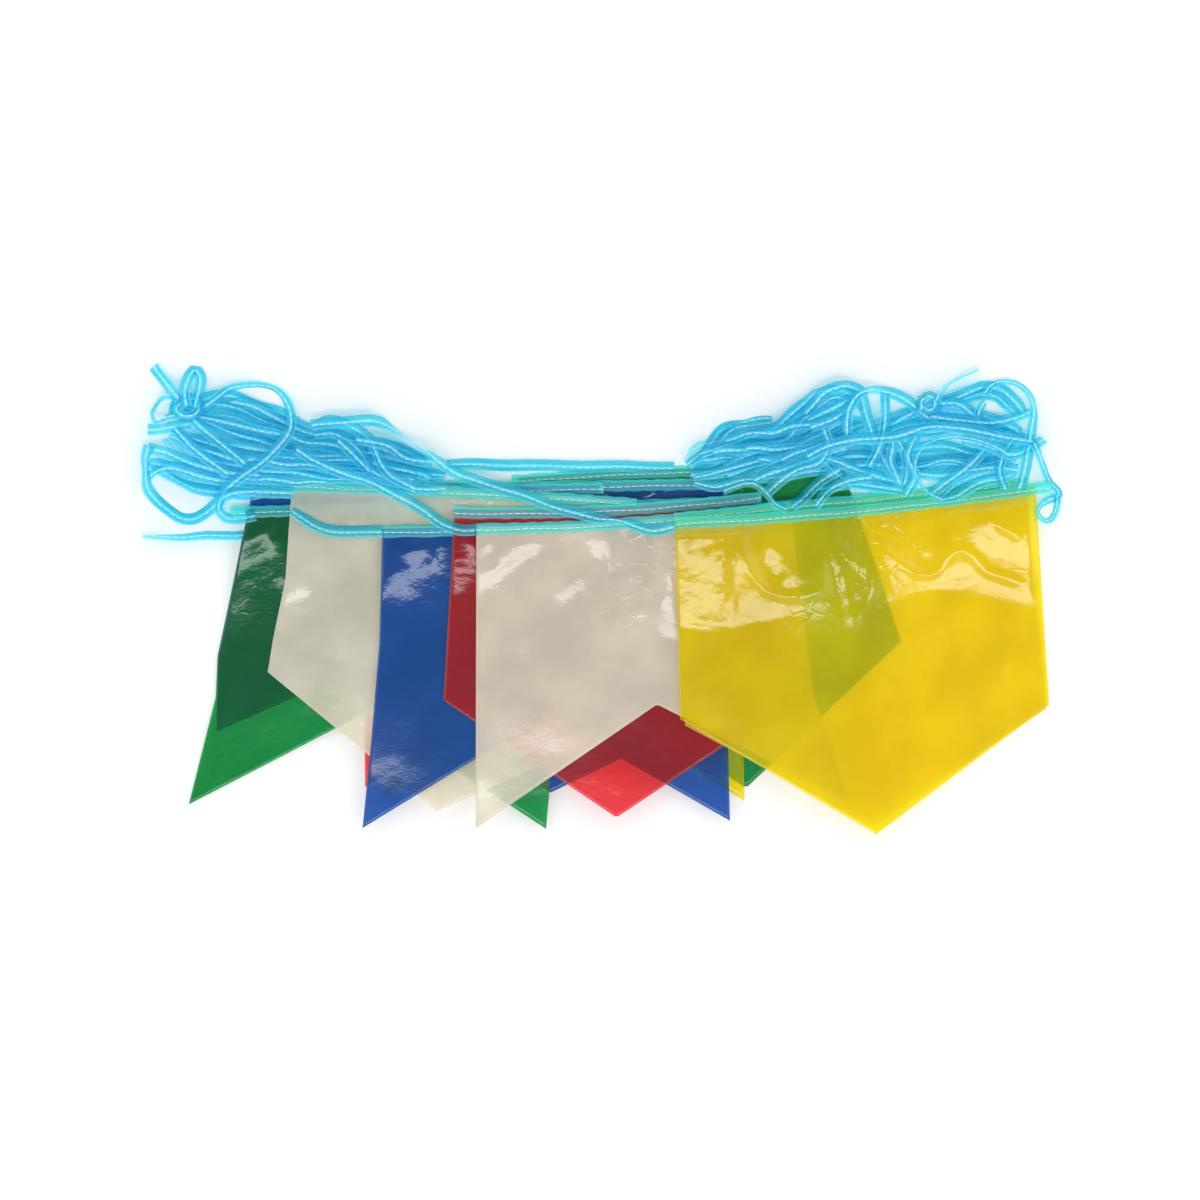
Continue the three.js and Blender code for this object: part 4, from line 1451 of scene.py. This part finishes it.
GREEN_UNDER = Pennant(
    "green_under", Film.GREEN, ((-46, 63), (135, 69)), -2, (4, 3),
    ((-21, -35),), (80, -104.5), ((156, 8), (166, -23)),
    step=2.4, gather=0.7, seed=1,
)
PENNANTS = (
    Pennant(
        "yellow_under", Film.YELLOW, ((-119, 49), (78, 50)), 1, (3, 3),
        ((-120, -110),), (-21, -50), ((79, -111.5),),
        step=2.6, seed=2,
    ),
    Pennant(
        "blue_under", Film.BLUE, ((-99.5, 60), (68.5, 61.5)), 1, (2, 2),
        ((-124, -41.5),), (-28.5, -107), ((75.5, -56.5),),
        step=2.4, gather=0.7, seed=3,
    ),
    Pennant(
        "red_under", Film.RED, ((-126, 47), (72, 51)), 1, (2, 2),
        ((-132, -51), (-131.5, -104)), (-31, -48), ((66, -100),),
        step=2.6, seed=4,
    ),
    Pennant(
        "blue_left", Film.BLUE, ((-195, 56), (-1, 58.5)), 0, (1, 2),
        ((-213.5, -31), (-214, -73)), (-150, -45), ((-22, -100),),
        step=2.4, seed=5,
    ),
    Pennant(
        "green_left", Film.GREEN, ((-197, 45.5), (-7, 51)), 0, (9, 2),
        ((-209.5, -15), (-213.5, -32), (-214.5, -54), (-229.5, -113.5)),
        (-130, -62), ((-28.5, -100), (-31, -127)),
        creases=(
            Crease(((-196, 26), (-193, 34), (-186, 40), (-180, 45)), 2.2, 0.7, sharp=True),
            Crease(((-206, 30), (-200, 12), (-203, -4)), 6, 0.4),
            Crease(((-183, 34), (-176, 24), (-178, 8)), 6, 1.0),
            Crease(((-212.5, -52), (-212, -80), (-213, -104)), 2.4, 0.9, sharp=True),
        ),
        patches=(Patch((-195, 17), (10, 16), 20, 6, 0.1),),
        ramps=(Ramp(((-206, 12), (-195, 20), (-184, 28)), ((-206, 26), (-195, 37), (-184, 42)), 0.12),),
        seed=6,
    ),
    Pennant(
        "white_left", Film.WHITE, ((-172.2, 60), (17, 50)), -1, (1, 2),
        ((-175.5, 12), (-182.5, -21.5), (-185.5, -40)), (-91.5, -117), ((3.5, -75),),
        creases=(
            Crease(((-121, 51), (-118.5, 45), (-124, 37)), 2, 1.2, sharp=True),
            Crease(((-165, 44), (-163, 18), (-168, -8)), 7, 1.0),
            Crease(((-146, 30), (-143, 0), (-149, -32)), 8, 0.9),
            Crease(((-134, 22), (-132, -10)), 4, -0.6),
        ),
        ramps=(Ramp(((-176, -4), (-164, 2)), ((-176, 2), (-164, 9)), 0.15, side=2),),
        seed=7,
    ),
    Pennant(
        "blue_front", Film.BLUE, ((-121.7, 34.5), (67, 40.5)), 1, (0, 2),
        ((-123.3, -24), (-127.8, -78), (-132.8, -126.5)), (-31, -64), ((71, -122.5),),
        creases=(
            Crease(((-121, 16), (-113, 27), (-104, 27), (-98, 13)), 2.6, 0.4, sharp=True),
            Crease(((-97, 30), (-94, 23), (-90, 17)), 2, 1.2, sharp=True),
            Crease(((-112, 20), (-108, 2)), 6, 1.0),
            Crease(((-105, -5), (-109, -60)), 7, 0.6),
        ),
        patches=(Patch((-107, 17), (15, 15), 0, 5.5, 0.12),),
        ramps=(
            Ramp(
                ((-123, -2), (-116, 3), (-104, 9), (-98, 14)),
                ((-123, 4), (-116, 16), (-104, 28), (-98, 31)),
                0.13,
            ),
            Ramp(((-96, 18), (-88, 21)), ((-96, 26), (-88, 32)), 0.13, side=2),
        ),
        seed=8,
    ),
    Pennant(
        "red_front", Film.RED, ((-82, 45.2), (86.5, 53.6)), 3.2, (0, 2),
        ((-87.8, -55.5),), (8, -120.5), ((106, -55.5),),
        creases=(
            Crease(((-75, 38), (-73, 32), (-69, 28)), 2, 1.0, sharp=True),
            Crease(((-80, 26), (-79, 4)), 5, 1.0),
        ),
        patches=(Patch((-77, 20), (8, 16), 0, 6, 0.12),),
        ramps=(Ramp(((-82, 8), (-72, 10)), ((-82, 24), (-72, 28)), 0.075),),
        seed=9,
    ),
    Pennant(
        "white_front", Film.WHITE, ((-69.5, 36), (104.5, 49.3)), 3.2, (0, 1),
        ((-70, -126.5),), (30.5, -57.8), ((117, -51), (137, -111.7)),
        creases=(
            Crease(((-67, 12), (-57, 19), (-51, 25), (-41, 31)), 3, 0.4, sharp=True),
            Crease(((-1, 37), (5, 31), (7, 26), (4, 20), (0, 8)), 2.4, 0.7, sharp=True),
            Crease(((32, 29), (33, 22), (37, 13), (38, -1), (40, -22)), 2.6, 1.0, sharp=True),
            Crease(((-27, 1), (-20, 8), (-8, 16)), 5, 1.2),
            Crease(((20, 28), (22, 8), (18, -14)), 6, 0.9),
            Crease(((-40, -6), (-46, -30)), 7, 0.8),
            Crease(((-56, 34), (-61, 26), (-64, 18)), 3, -1.0),
        ),
        patches=(
            Patch((-55, 19), (16, 16), 0, 7, 0.1),
            Patch((6, 0), (30, 26), 0, 12, 0.22),
        ),
        ramps=(
            Ramp(
                ((-69, 2), (-60, 8), (-46, 18), (-36, 27)),
                ((-69, 14), (-60, 23), (-46, 31), (-36, 34)),
                0.11,
            ),
            Ramp(((-9, 30), (-2, 22), (4, 12)), ((-9, 36), (-2, 38), (4, 26)), 0.11, side=2),
            Ramp(((32, -20), (38, -22), (45, -22)), ((32, 0), (38, 22), (45, 24)), 0.11, side=3),
        ),
        seed=10,
    ),
    Pennant(
        "yellow_second", Film.YELLOW, ((41.5, 41.8), (236, 61.6)), 0, (1, 1),
        ((46, -69.5),), (151, -125.5), ((246.5, -60.5),),
        step=2.4, seed=11,
    ),
    Pennant(
        "yellow_front", Film.YELLOW, ((40.6, 39), (240.8, 58.3)), 2.5, (0, 9),
        ((43.3, -66),), (152.2, -129.9), ((248.3, -58.3),),
        creases=(
            Crease(((124, 32), (128, 26), (132, 18), (138, -11)), 1.6, 2.2, sharp=True),
            Crease(((120, 26), (123, 12), (121, 4), (112, 1.5)), 1.6, 1.8, sharp=True),
            Crease(((128, 34), (138, 23), (149, 16), (150, 4), (144, -8), (138, -11)), 2.2, 1.8, sharp=True),
            Crease(((78, 26), (84, 13), (91, 5), (99, 2), (110, 1.5)), 2.4, 2.0, sharp=True),
            Crease(((154, 34), (158, 26), (166, 20), (174, 15), (182, 14), (188, 17)), 2.2, 1.9, sharp=True),
            Crease(((188, 17), (192, 24), (199, 28.5), (206, 24), (213, 16), (235, 8)), 2.8, 1.7, sharp=True),
            Crease(((213, 46), (222, 40), (232, 34)), 2.4, 1.5, sharp=True),
            Crease(((96, 34), (103, 24), (106, 8)), 6, 1.5),
            Crease(((86, 24), (92, 14), (99, 10)), 8, -1.6),
            Crease(((128, 22), (131, 8), (134, -6)), 4, -1.2),
            Crease(((60, 30), (64, 10), (60, -12)), 12, 1.4),
            Crease(((174, 30), (176, 22), (186, 22)), 6, -1.4),
            Crease(((226, -16), (229, -60), (227, -98)), 3, 0.6),
        ),
        patches=(
            Patch((66, 6), (29, 24), 0, 5.5, 0.17),
            Patch((181, 16), (26, 11), -10, 5.5, 0.14),
            Patch((143, 6), (8, 15), 0, 5, 0.16),
        ),
        ramps=(
            Ramp(
                ((38, -15), (60, -18), (90, -12), (122, -2)),
                ((38, 37), (70, 35), (79, 25), (84, 13), (92, 5), (99, 2), (110, 2), (122, 5.6)),
                0.125,
            ),
            Ramp(
                ((152, -3), (160, 1), (175, 4), (190, 5), (205, 3), (238, -4)),
                (
                    (152, 12), (158, 25), (166, 20), (174, 14.5), (182, 13),
                    (189, 17), (192, 24), (199, 28), (238, 14),
                ),
                0.13,
            ),
            Ramp(((196, 30), (213, 25), (238, 16)), ((196, 36), (213, 42), (238, 40)), 0.12),
        ),
        step=1.6, gather=0.9, seed=12,
    ),
)

LEFT_COURSES = (
    Course("lower_course", 3, 3.9, (
        (-251, 76.5, 20), (-237, 71, 30), (-221, 66.5, 10), (-201, 64.5, -20), (-183, 63, 0),
        (-168, 63, 0),
    ), open_turns=1),
    Course("upper_course", 3, 3.3, (
        (-224, 110.5, 30), (-209, 110, 10), (-192, 104.5, 25), (-177, 98, 0), (-167, 93.5, -20),
        (-151, 91, 10), (-133, 87, 30), (-118, 84, 0), (-98, 77, 10), (-89, 73.5, 20),
    ), open_turns=1),
    Course("middle_course", 4, 6.1, (
        (-233, 104.5, 0), (-209, 97, 25), (-189, 93, -10), (-168, 86, 20), (-143, 81.5, 0),
        (-121, 75.5, -25), (-97, 70, 10), (-87, 68.5, 0),
    ), open_turns=1),
    Course("block_course", 4, 6.7, (
        (-236, 94.5, 20), (-217, 86.5, 0), (-196, 80.5, -30), (-168, 76.5, 10), (-140, 73, 25),
        (-112, 68, 0), (-94, 64, 10), (-86, 64, 0),
    ), open_turns=2),
    Course("inner_course", 3, 5.0, (
        (-240, 90, 10), (-227, 80.5, 30), (-211, 73.5, 0), (-189, 69.5, -20), (-162, 67, 15),
        (-133, 66, 0),
    ), open_turns=1),
    Course("right_course", 2, 3.9, (
        (-169, 91, 10), (-149, 94.5, -20), (-139, 90, 30), (-131, 81.5, 0), (-122, 70, 20),
        (-106, 61.5, 0), (-94, 58, 10),
    )),
    Course("right_rise", 1, 0.0, (
        (-136, 89, 0), (-118, 85, 25), (-108, 78.5, 0), (-94, 76.5, 10),
    )),
    Course("strip_short", 1, 0.0, (
        (-146, 88.5, 0), (-139, 82, 10), (-128, 71, 0),
    )),
    Course("stub", 1, 0.0, (
        (-252, 94.5, 0), (-246, 94.5, 25), (-236, 96, 10), (-228, 98, 0),
    )),
    Course("band_left", 1, 0.0, (
        (-252, 84, 0), (-241, 81.5, 25), (-228, 76, 0), (-209, 71, 10), (-189, 69, 0),
    )),
    Course("dark_left", 1, 0.0, (
        (-252, 68, 30), (-247, 71, 50), (-241, 73, 20), (-232, 72, -30), (-222, 68.5, 0),
        (-211, 66, 10),
    )),
    Course("fan_upper", 1, 0.0, (
        (-232, 103, 0), (-221, 101, 20), (-206, 98, 0), (-191, 94.5, -15), (-178, 92, 0),
    )),
    Course("fan_middle", 1, 0.0, (
        (-227, 101, 10), (-221, 95, 0), (-211, 87, 15), (-197, 75.5, 0),
    )),
    Course("fan_lower", 1, 0.0, (
        (-236, 95, 0), (-229, 87, 20), (-220, 79.5, 0), (-206, 69.5, 10),
    )),
    Course("big_loop", 1, 0.0, (
        (-251, 85.5, 10), (-253, 79, 40), (-253, 70, 50), (-252, 61.5, 20), (-248, 56, 0),
        (-241, 50, 10), (-234, 45.5, 15), (-227, 45, 0), (-220, 48.5, 10), (-213, 54.5, 0),
        (-207, 61.5, 0), (-198, 69, 10), (-188, 76, 0), (-179, 85, 10), (-173, 94.5, 0),
        (-173, 104.5, 25), (-177, 113, 52), (-183, 118, 64), (-194, 119.5, 60), (-207, 117, 50),
        (-214, 111.5, 30), (-221, 106, 10),
    )),
    Course("hem_strip", 1, 0.0, (
        (-213, 50.5, 40), (-210, 55.5, 30), (-205, 58.5, 10), (-194, 60, 0), (-170, 59, 0),
    )),
    Course("small_loop", 1, 0.0, (
        (-211, 54.5, 50), (-212, 50.5, 40), (-209, 46, 30), (-202, 45, 10), (-192, 47, 0),
    )),
    Course("knot_wrap", 1, 0.0, (
        (-237, 102, 10), (-236, 109, 30), (-229, 112, 20), (-223, 109, 0), (-224, 103.5, 20),
        (-231, 101.5, 30), (-236, 105.5, 10), (-231, 110.5, 0), (-224, 111.5, 10),
    )),
    Course("knot_loop", 1, 0.0, (
        (-235, 109.5, 70), (-239, 111.5, 76), (-243, 111.5, 76), (-247, 108, 76), (-249, 103, 76),
        (-246, 99, 70), (-241, 101, 60), (-236, 102, 50),
    )),
    Course("tab", 1, 0.0, (
        (-230, 107, 0), (-231, 116.5, 0), (-229, 124.5, 10), (-226, 128, 30), (-223, 124, 10),
        (-223, 116, 0), (-225, 106.5, 0),
    )),
)

RIGHT_COURSES = (
    Course("rim_left", 2, 2.8, (
        (39, 71.5, 20), (49, 75.5, 40), (59, 84, 20), (67, 92, 0), (76, 97, 30), (89, 99, 50),
        (102, 100, 30), (111, 105.5, 10),
    )),
    Course("course_low", 4, 5.6, (
        (49, 70, 10), (67, 74.5, 30), (88, 81.5, 0), (104, 86, -20), (122, 90.5, 20), (138, 96, 0),
        (154, 100.5, 20),
    ), open_turns=1),
    Course("course_rise", 3, 3.9, (
        (47, 75, 20), (54, 79.5, 0), (69, 83.5, 30), (83, 89.5, 0), (99, 94, -30), (111, 103.5, 20),
        (124, 113, 30), (137, 111.5, 0), (144, 104.5, 20),
    ), open_turns=2),
    Course("course_base", 4, 6.1, (
        (51, 66.5, 30), (61, 67, 20), (79, 72, 0), (99, 75.5, 30), (121, 76.5, 0), (143, 79, -20),
        (166, 76.5, 0), (191, 79, 30), (213, 76.5, 0), (231, 79, 10),
    ), open_turns=2),
    Course("course_right", 3, 5.0, (
        (135, 85, 0), (154, 93.5, 25), (174, 100, 0), (193, 101, -25), (213, 98, 20), (229, 91, 0),
        (240, 86.5, 20),
    ), open_turns=1),
    Course("cross_left", 2, 3.3, (
        (52, 80, 20), (61, 85, 0), (81, 89, 25), (99, 90, 0), (118, 94, 20), (136, 101, 0),
    )),
    Course("cross_peak", 2, 2.8, (
        (105, 98, 0), (118, 104.5, 25), (131, 113.5, 10), (142, 115, 40), (150, 109, 20),
    )),
    Course("cross_foot", 2, 2.8, (
        (79, 83.5, 10), (98, 79.5, 0), (113, 83.5, 25), (128, 89, 0),
    )),
    Course("slope_left", 2, 2.8, (
        (83, 66.5, 0), (96, 73.5, 25), (110, 81, 0), (128, 85.5, 20), (144, 88.5, 0),
    ), open_turns=1),
    Course("lower_band", 2, 2.8, (
        (122, 77, 0), (138, 70, 25), (157, 65.5, 0), (170, 63, 20),
    )),
    Course("floor_band", 1, 0.0, (
        (119, 61.5, 0), (138, 64, 20), (159, 62, 0), (168, 60.5, 0),
    )),
    Course("strap_front", 1, 0.0, (
        (105, 51.5, 0), (112, 57, 10), (120, 65, 20), (131, 72, 0),
    )),
    Course("strap_back", 1, 0.0, (
        (118, 52, 20), (126, 61, 40), (137, 66, 10), (149, 68, 0),
    )),
    Course("upright_left", 1, 0.0, (
        (143, 116, 20), (146, 104.5, 0), (150, 91, 25), (157, 76.5, 0), (162, 68, 10),
    )),
    Course("upright_mid", 1, 0.0, (
        (157, 115, 40), (157, 101, 20), (154, 85.5, 0), (148, 73.5, 20),
    )),
    Course("upright_right", 2, 2.8, (
        (162, 89, 0), (165, 76.5, 25), (166, 63.5, 0),
    )),
    Course("bend_left", 1, 0.0, (
        (91, 59, 20), (98, 65.5, 0), (108, 72, 25), (120, 76, 0), (125, 85.5, 20), (122, 94.5, 0),
    )),
    Course("ridge", 1, 0.0, (
        (115, 95.5, 0), (128, 100, 25), (138, 108, 0), (142, 114.5, 40),
    )),
    Course("arch_dark", 2, 2.2, (
        (162, 98, 0), (173, 103.5, 20), (184, 108, 0), (197, 111.5, 20), (212, 116.5, 0),
        (223, 115, 20), (231, 105.5, 30), (238, 95.5, 0), (245, 88.5, 20),
    )),
    Course("arch_left", 1, 0.0, (
        (135, 91, 10), (136, 104.5, 0), (141, 113, 40), (148, 116, 50), (158, 115.5, 30),
        (167, 112, 0), (175, 106, 10), (182, 100.5, 0), (193, 96.5, 10),
    )),
    Course("link_one", 1, 0.0, (
        (187, 109, 0), (197, 109, 20), (204, 104.5, 0), (212, 97, 20), (223, 91.5, 0),
    )),
    Course("link_two", 1, 0.0, (
        (212, 110, 50), (209, 104.5, 40), (209, 98, 20), (216, 92, 0),
    )),
    Course("link_three", 1, 0.0, (
        (182, 102, 0), (200, 99.5, 20), (217, 98.5, 0), (231, 101.5, 30), (238, 104.5, 50),
    )),
    Course("web_one", 2, 2.8, (
        (187, 55.5, 0), (197, 61.5, 25), (211, 66.5, 0), (228, 70, 20),
    )),
    Course("web_two", 1, 0.0, (
        (175, 70, 20), (188, 69, 0), (202, 71.5, 20), (217, 73.5, 0), (230, 72, 0),
    )),
    Course("web_three", 1, 0.0, (
        (182, 58.5, 0), (192, 66, 20), (202, 73.5, 0), (212, 83.5, 25), (217, 90, 0),
    )),
    Course("web_four", 1, 0.0, (
        (168, 58, 20), (173, 68, 0), (169, 80, 20), (174, 91, 0),
    )),
    Course("web_five", 1, 0.0, (
        (223, 61, 10), (220, 72, 30), (223, 82, 0), (228, 89, 20),
    )),
    Course("fold_right", 1, 0.0, (
        (200, 89, 0), (213, 85.5, 20), (227, 80.5, 0), (238, 85, 20), (245, 89, 40),
    )),
    Course("post_right", 1, 0.0, (
        (238, 89, 20), (236, 82, 0), (234, 72, 10), (231, 61.5, 0),
    )),
    Course("ring", 1, 0.0, (
        (223, 82, 60), (213, 87, 64), (202, 90, 66), (189, 90, 66), (179, 86, 68), (174, 79.5, 70),
        (173, 72, 70), (176, 64.5, 68), (181, 59, 64), (188, 55.5, 50),
    )),
    Course("front_band", 1, 0.0, (
        (113, 79, 20), (122, 84, 0), (139, 88.5, 10), (163, 90.5, 0), (181, 96, 10), (200, 95, 0),
        (221, 90.5, 10), (239, 88, 0),
    )),
    Course("loop_top", 1, 0.0, (
        (212, 114.5, 20), (216, 119, 55), (222, 121, 62), (231, 119.5, 60), (237, 114, 55),
        (239, 105.5, 50), (238, 95.5, 30), (237, 88.5, 10),
    )),
    Course("edge_right", 1, 0.0, (
        (239, 87, 40), (244, 76, 55), (249, 65, 55), (254, 59.5, 50), (251, 55.5, 40),
    )),
    Course("foot_loop", 1, 0.0, (
        (251, 57, 40), (246, 54.5, 55), (242, 51, 62), (242, 47, 62), (246, 44, 60), (249, 44.5, 60),
        (252, 50, 60), (253, 56.5, 50),
    )),
    Course("stray", 1, 0.0, (
        (67, 59.5, 60), (75, 63, 55), (83, 64, 55), (90, 59.5, 50), (95, 53.5, 50), (102, 50, 40),
    )),
    Course("knot_wrap", 1, 0.0, (
        (177, 105, 20), (177, 110.5, 30), (182, 113, 20), (185, 109, 0), (182, 105, 20),
        (177, 108, 30), (181, 111.5, 10),
    )),
)

HANKS = (
    Hank("hank_left_tape", ("hank_left",), LEFT_COURSES, 100),
    Hank(
        "hank_right_tape",
        ("hank_right", "hank_right_arch", "hank_right_band", "hank_right_ring"),
        RIGHT_COURSES,
        200,
    ),
)
END_LEFT = LooseTape(
    "tape_left_end", "tape_end_left",
    (
        (-255, 35.2, 76), (-247, 35, 66), (-232, 34.9, 54), (-220, 35.6, 44), (-205, 35.9, 34),
        (-184, 36.6, 30),
    ),
    seed=51,
)
RUN_BACK = LooseTape(
    "tape_back_run", "tape_run_back",
    ((-86, 75.2, 30), (-72, 75.4, 10), (-48, 74.8, 0), (-22, 74.3, 0), (8, 74, 0), (40, 73.4, 10)),
    seed=52,
)
CROSSING = (
    LooseTape(
        "tape_lower_run", "tape_run_lower",
        (
            (-172, 49.6, 50), (-166, 45.4, 25), (-159.5, 41, 10), (-151, 38.6, 0), (-140, 37.8, 0),
            (-122, 37.8, 0),
        ),
        seed=53,
    ),
    LooseTape(
        "tape_middle_run", "tape_run_middle",
        (
            (-169, 83.6, 0), (-153, 74, 0), (-128, 65, 10), (-108, 55, 0), (-97.4, 48.8, 0),
            (-88.4, 42.2, 15), (-79, 38.7, 0), (-70, 38.8, 0),
        ),
        seed=54,
    ),
    LooseTape(
        "tape_upper_run", "tape_run_upper",
        (
            (-161, 96.8, 20), (-143, 98.6, 0), (-124, 98.8, 0), (-117.5, 96, 60), (-110, 91, 78),
            (-101.5, 84.6, 78), (-91, 77, 35), (-79.5, 69.6, 0), (-59.5, 63.2, 0), (-39.5, 56.4, 0),
            (-20, 49.6, 0), (-4, 45.6, 5), (3, 44.6, 50), (10, 43.6, 60), (17, 41, 20), (27.5, 38.6, 0),
            (40, 40.6, 0),
        ),
        seed=55,
    ),
)
TAILS = (
    LooseTape(
        "tape_left_tail", "tape_tail_left",
        ((-234, 111, 0), (-239, 117, 10), (-245, 124, 30), (-249, 129.5, 20)),
        seed=56,
    ),
    LooseTape(
        "tape_right_tail", "tape_tail_right",
        ((185, 110, 40), (187.5, 115, 60), (192, 119.5, 72), (198, 123.5, 78), (209, 128.2, 80)),
        seed=57,
    ),
)


@dataclass(frozen=True)
class Softbox:
    """A soft light over the bundle: its bearing from +X and its tilt from straight up, in degrees."""

    name: str
    bearing: float
    tilt: float
    distance: float
    size: tuple[float, float]
    power: float

    def build(self) -> None:
        """Adds the light, turned to the bundle."""
        light = bpy.data.lights.new(self.name, "AREA")
        light.shape = "RECTANGLE"
        light.size, light.size_y = self.size
        light.energy = self.power
        lamp = into_scene(self.name, light)
        bearing, tilt = math.radians(self.bearing), math.radians(self.tilt)
        aside = math.sin(tilt)
        back = Vector((math.cos(bearing) * aside, math.sin(bearing) * aside, math.cos(tilt)))
        lamp.location = back * self.distance
        lamp.rotation_mode = "QUATERNION"
        lamp.rotation_quaternion = back.to_track_quat("Z", "Y")


@dataclass(frozen=True)
class Studio:
    """The floor, the light and the camera."""

    softboxes: tuple[Softbox, ...] = (Softbox("softbox", -90, 20, 5.0, (3.4, 1.25), 84),)
    sky_low: float = 1.32
    sky_high: float = 0.22
    sky_turn: tuple[float, float] = (0.55, 0.92)
    floor_size: float = 8.0

    def build(self, table: Table, finishes: Finishes) -> None:
        """Builds all of it.

        Args:
            table: The surface.
            finishes: The materials.
        """
        shape = bmesh.new()
        bmesh.ops.create_grid(shape, x_segments=1, y_segments=1, size=self.floor_size / 2)
        floor = into_scene("floor", mesh_from("floor", shape))
        floor.data.materials.append(finishes.floor)
        scene = bpy.context.scene
        scene.world = self.sky()
        scene.view_settings.view_transform = "Standard"
        scene.cycles.transparent_max_bounces = 160
        for softbox in self.softboxes:
            softbox.build()
        self.camera(table)

    def sky(self) -> bpy.types.World:
        """The light from all round, which is dim overhead and bright lower down.

        Returns:
            The new world.
        """
        world = bpy.data.worlds.new("sky")
        world.use_nodes = True
        bench = Bench(world.node_tree)
        way = bench.node("ShaderNodeTexCoord").outputs["Generated"]
        up = bench.node("ShaderNodeSeparateXYZ", {0: way}).outputs[2]
        low, high = ((strength, strength, strength, 1) for strength in (self.sky_low, self.sky_high))
        shade = bench.blend(bench.ramp(up, *self.sky_turn), low, high)
        light = bench.node("ShaderNodeBackground", {"Color": shade})
        bench.node("ShaderNodeOutputWorld", {"Surface": light.outputs[0]})
        return world

    def camera(self, table: Table) -> None:
        """Adds the camera, which looks straight down.

        Args:
            table: The surface.
        """
        lens = bpy.data.cameras.new("camera")
        lens.sensor_width = SENSOR
        lens.lens = SENSOR * CAMERA_HEIGHT / (PIXELS * MM_PER_PIXEL * MM)
        lens.clip_end = 20
        camera = into_scene("camera", lens)
        camera.location = Vector(table.metres(*np.array((*VIEW_CENTRE, CAMERA_HEIGHT / MM))))
        bpy.context.scene.camera = camera


def main() -> None:
    """Builds the bundle from the surface up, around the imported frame."""
    logging.basicConfig(level=logging.INFO, format="%(name)s: %(message)s")
    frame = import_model()
    table = Table(frame["nodes"])
    finishes = Finishes()
    Studio().build(table, finishes)
    pile = Pile()
    END_LEFT.lay(table, pile, finishes)
    GREEN_UNDER.lay(table, pile, finishes, "floor")
    RUN_BACK.lay(table, pile, finishes)
    under = GREEN_UNDER.name
    for pennant in PENNANTS:
        pennant.lay(table, pile, finishes, f"film_{under}")
        under = pennant.name
    for hank in HANKS:
        hank.lay(table, pile, finishes)
    for tape in (*CROSSING, *TAILS):
        tape.lay(table, pile, finishes)


if __name__ == "__main__":
    main()
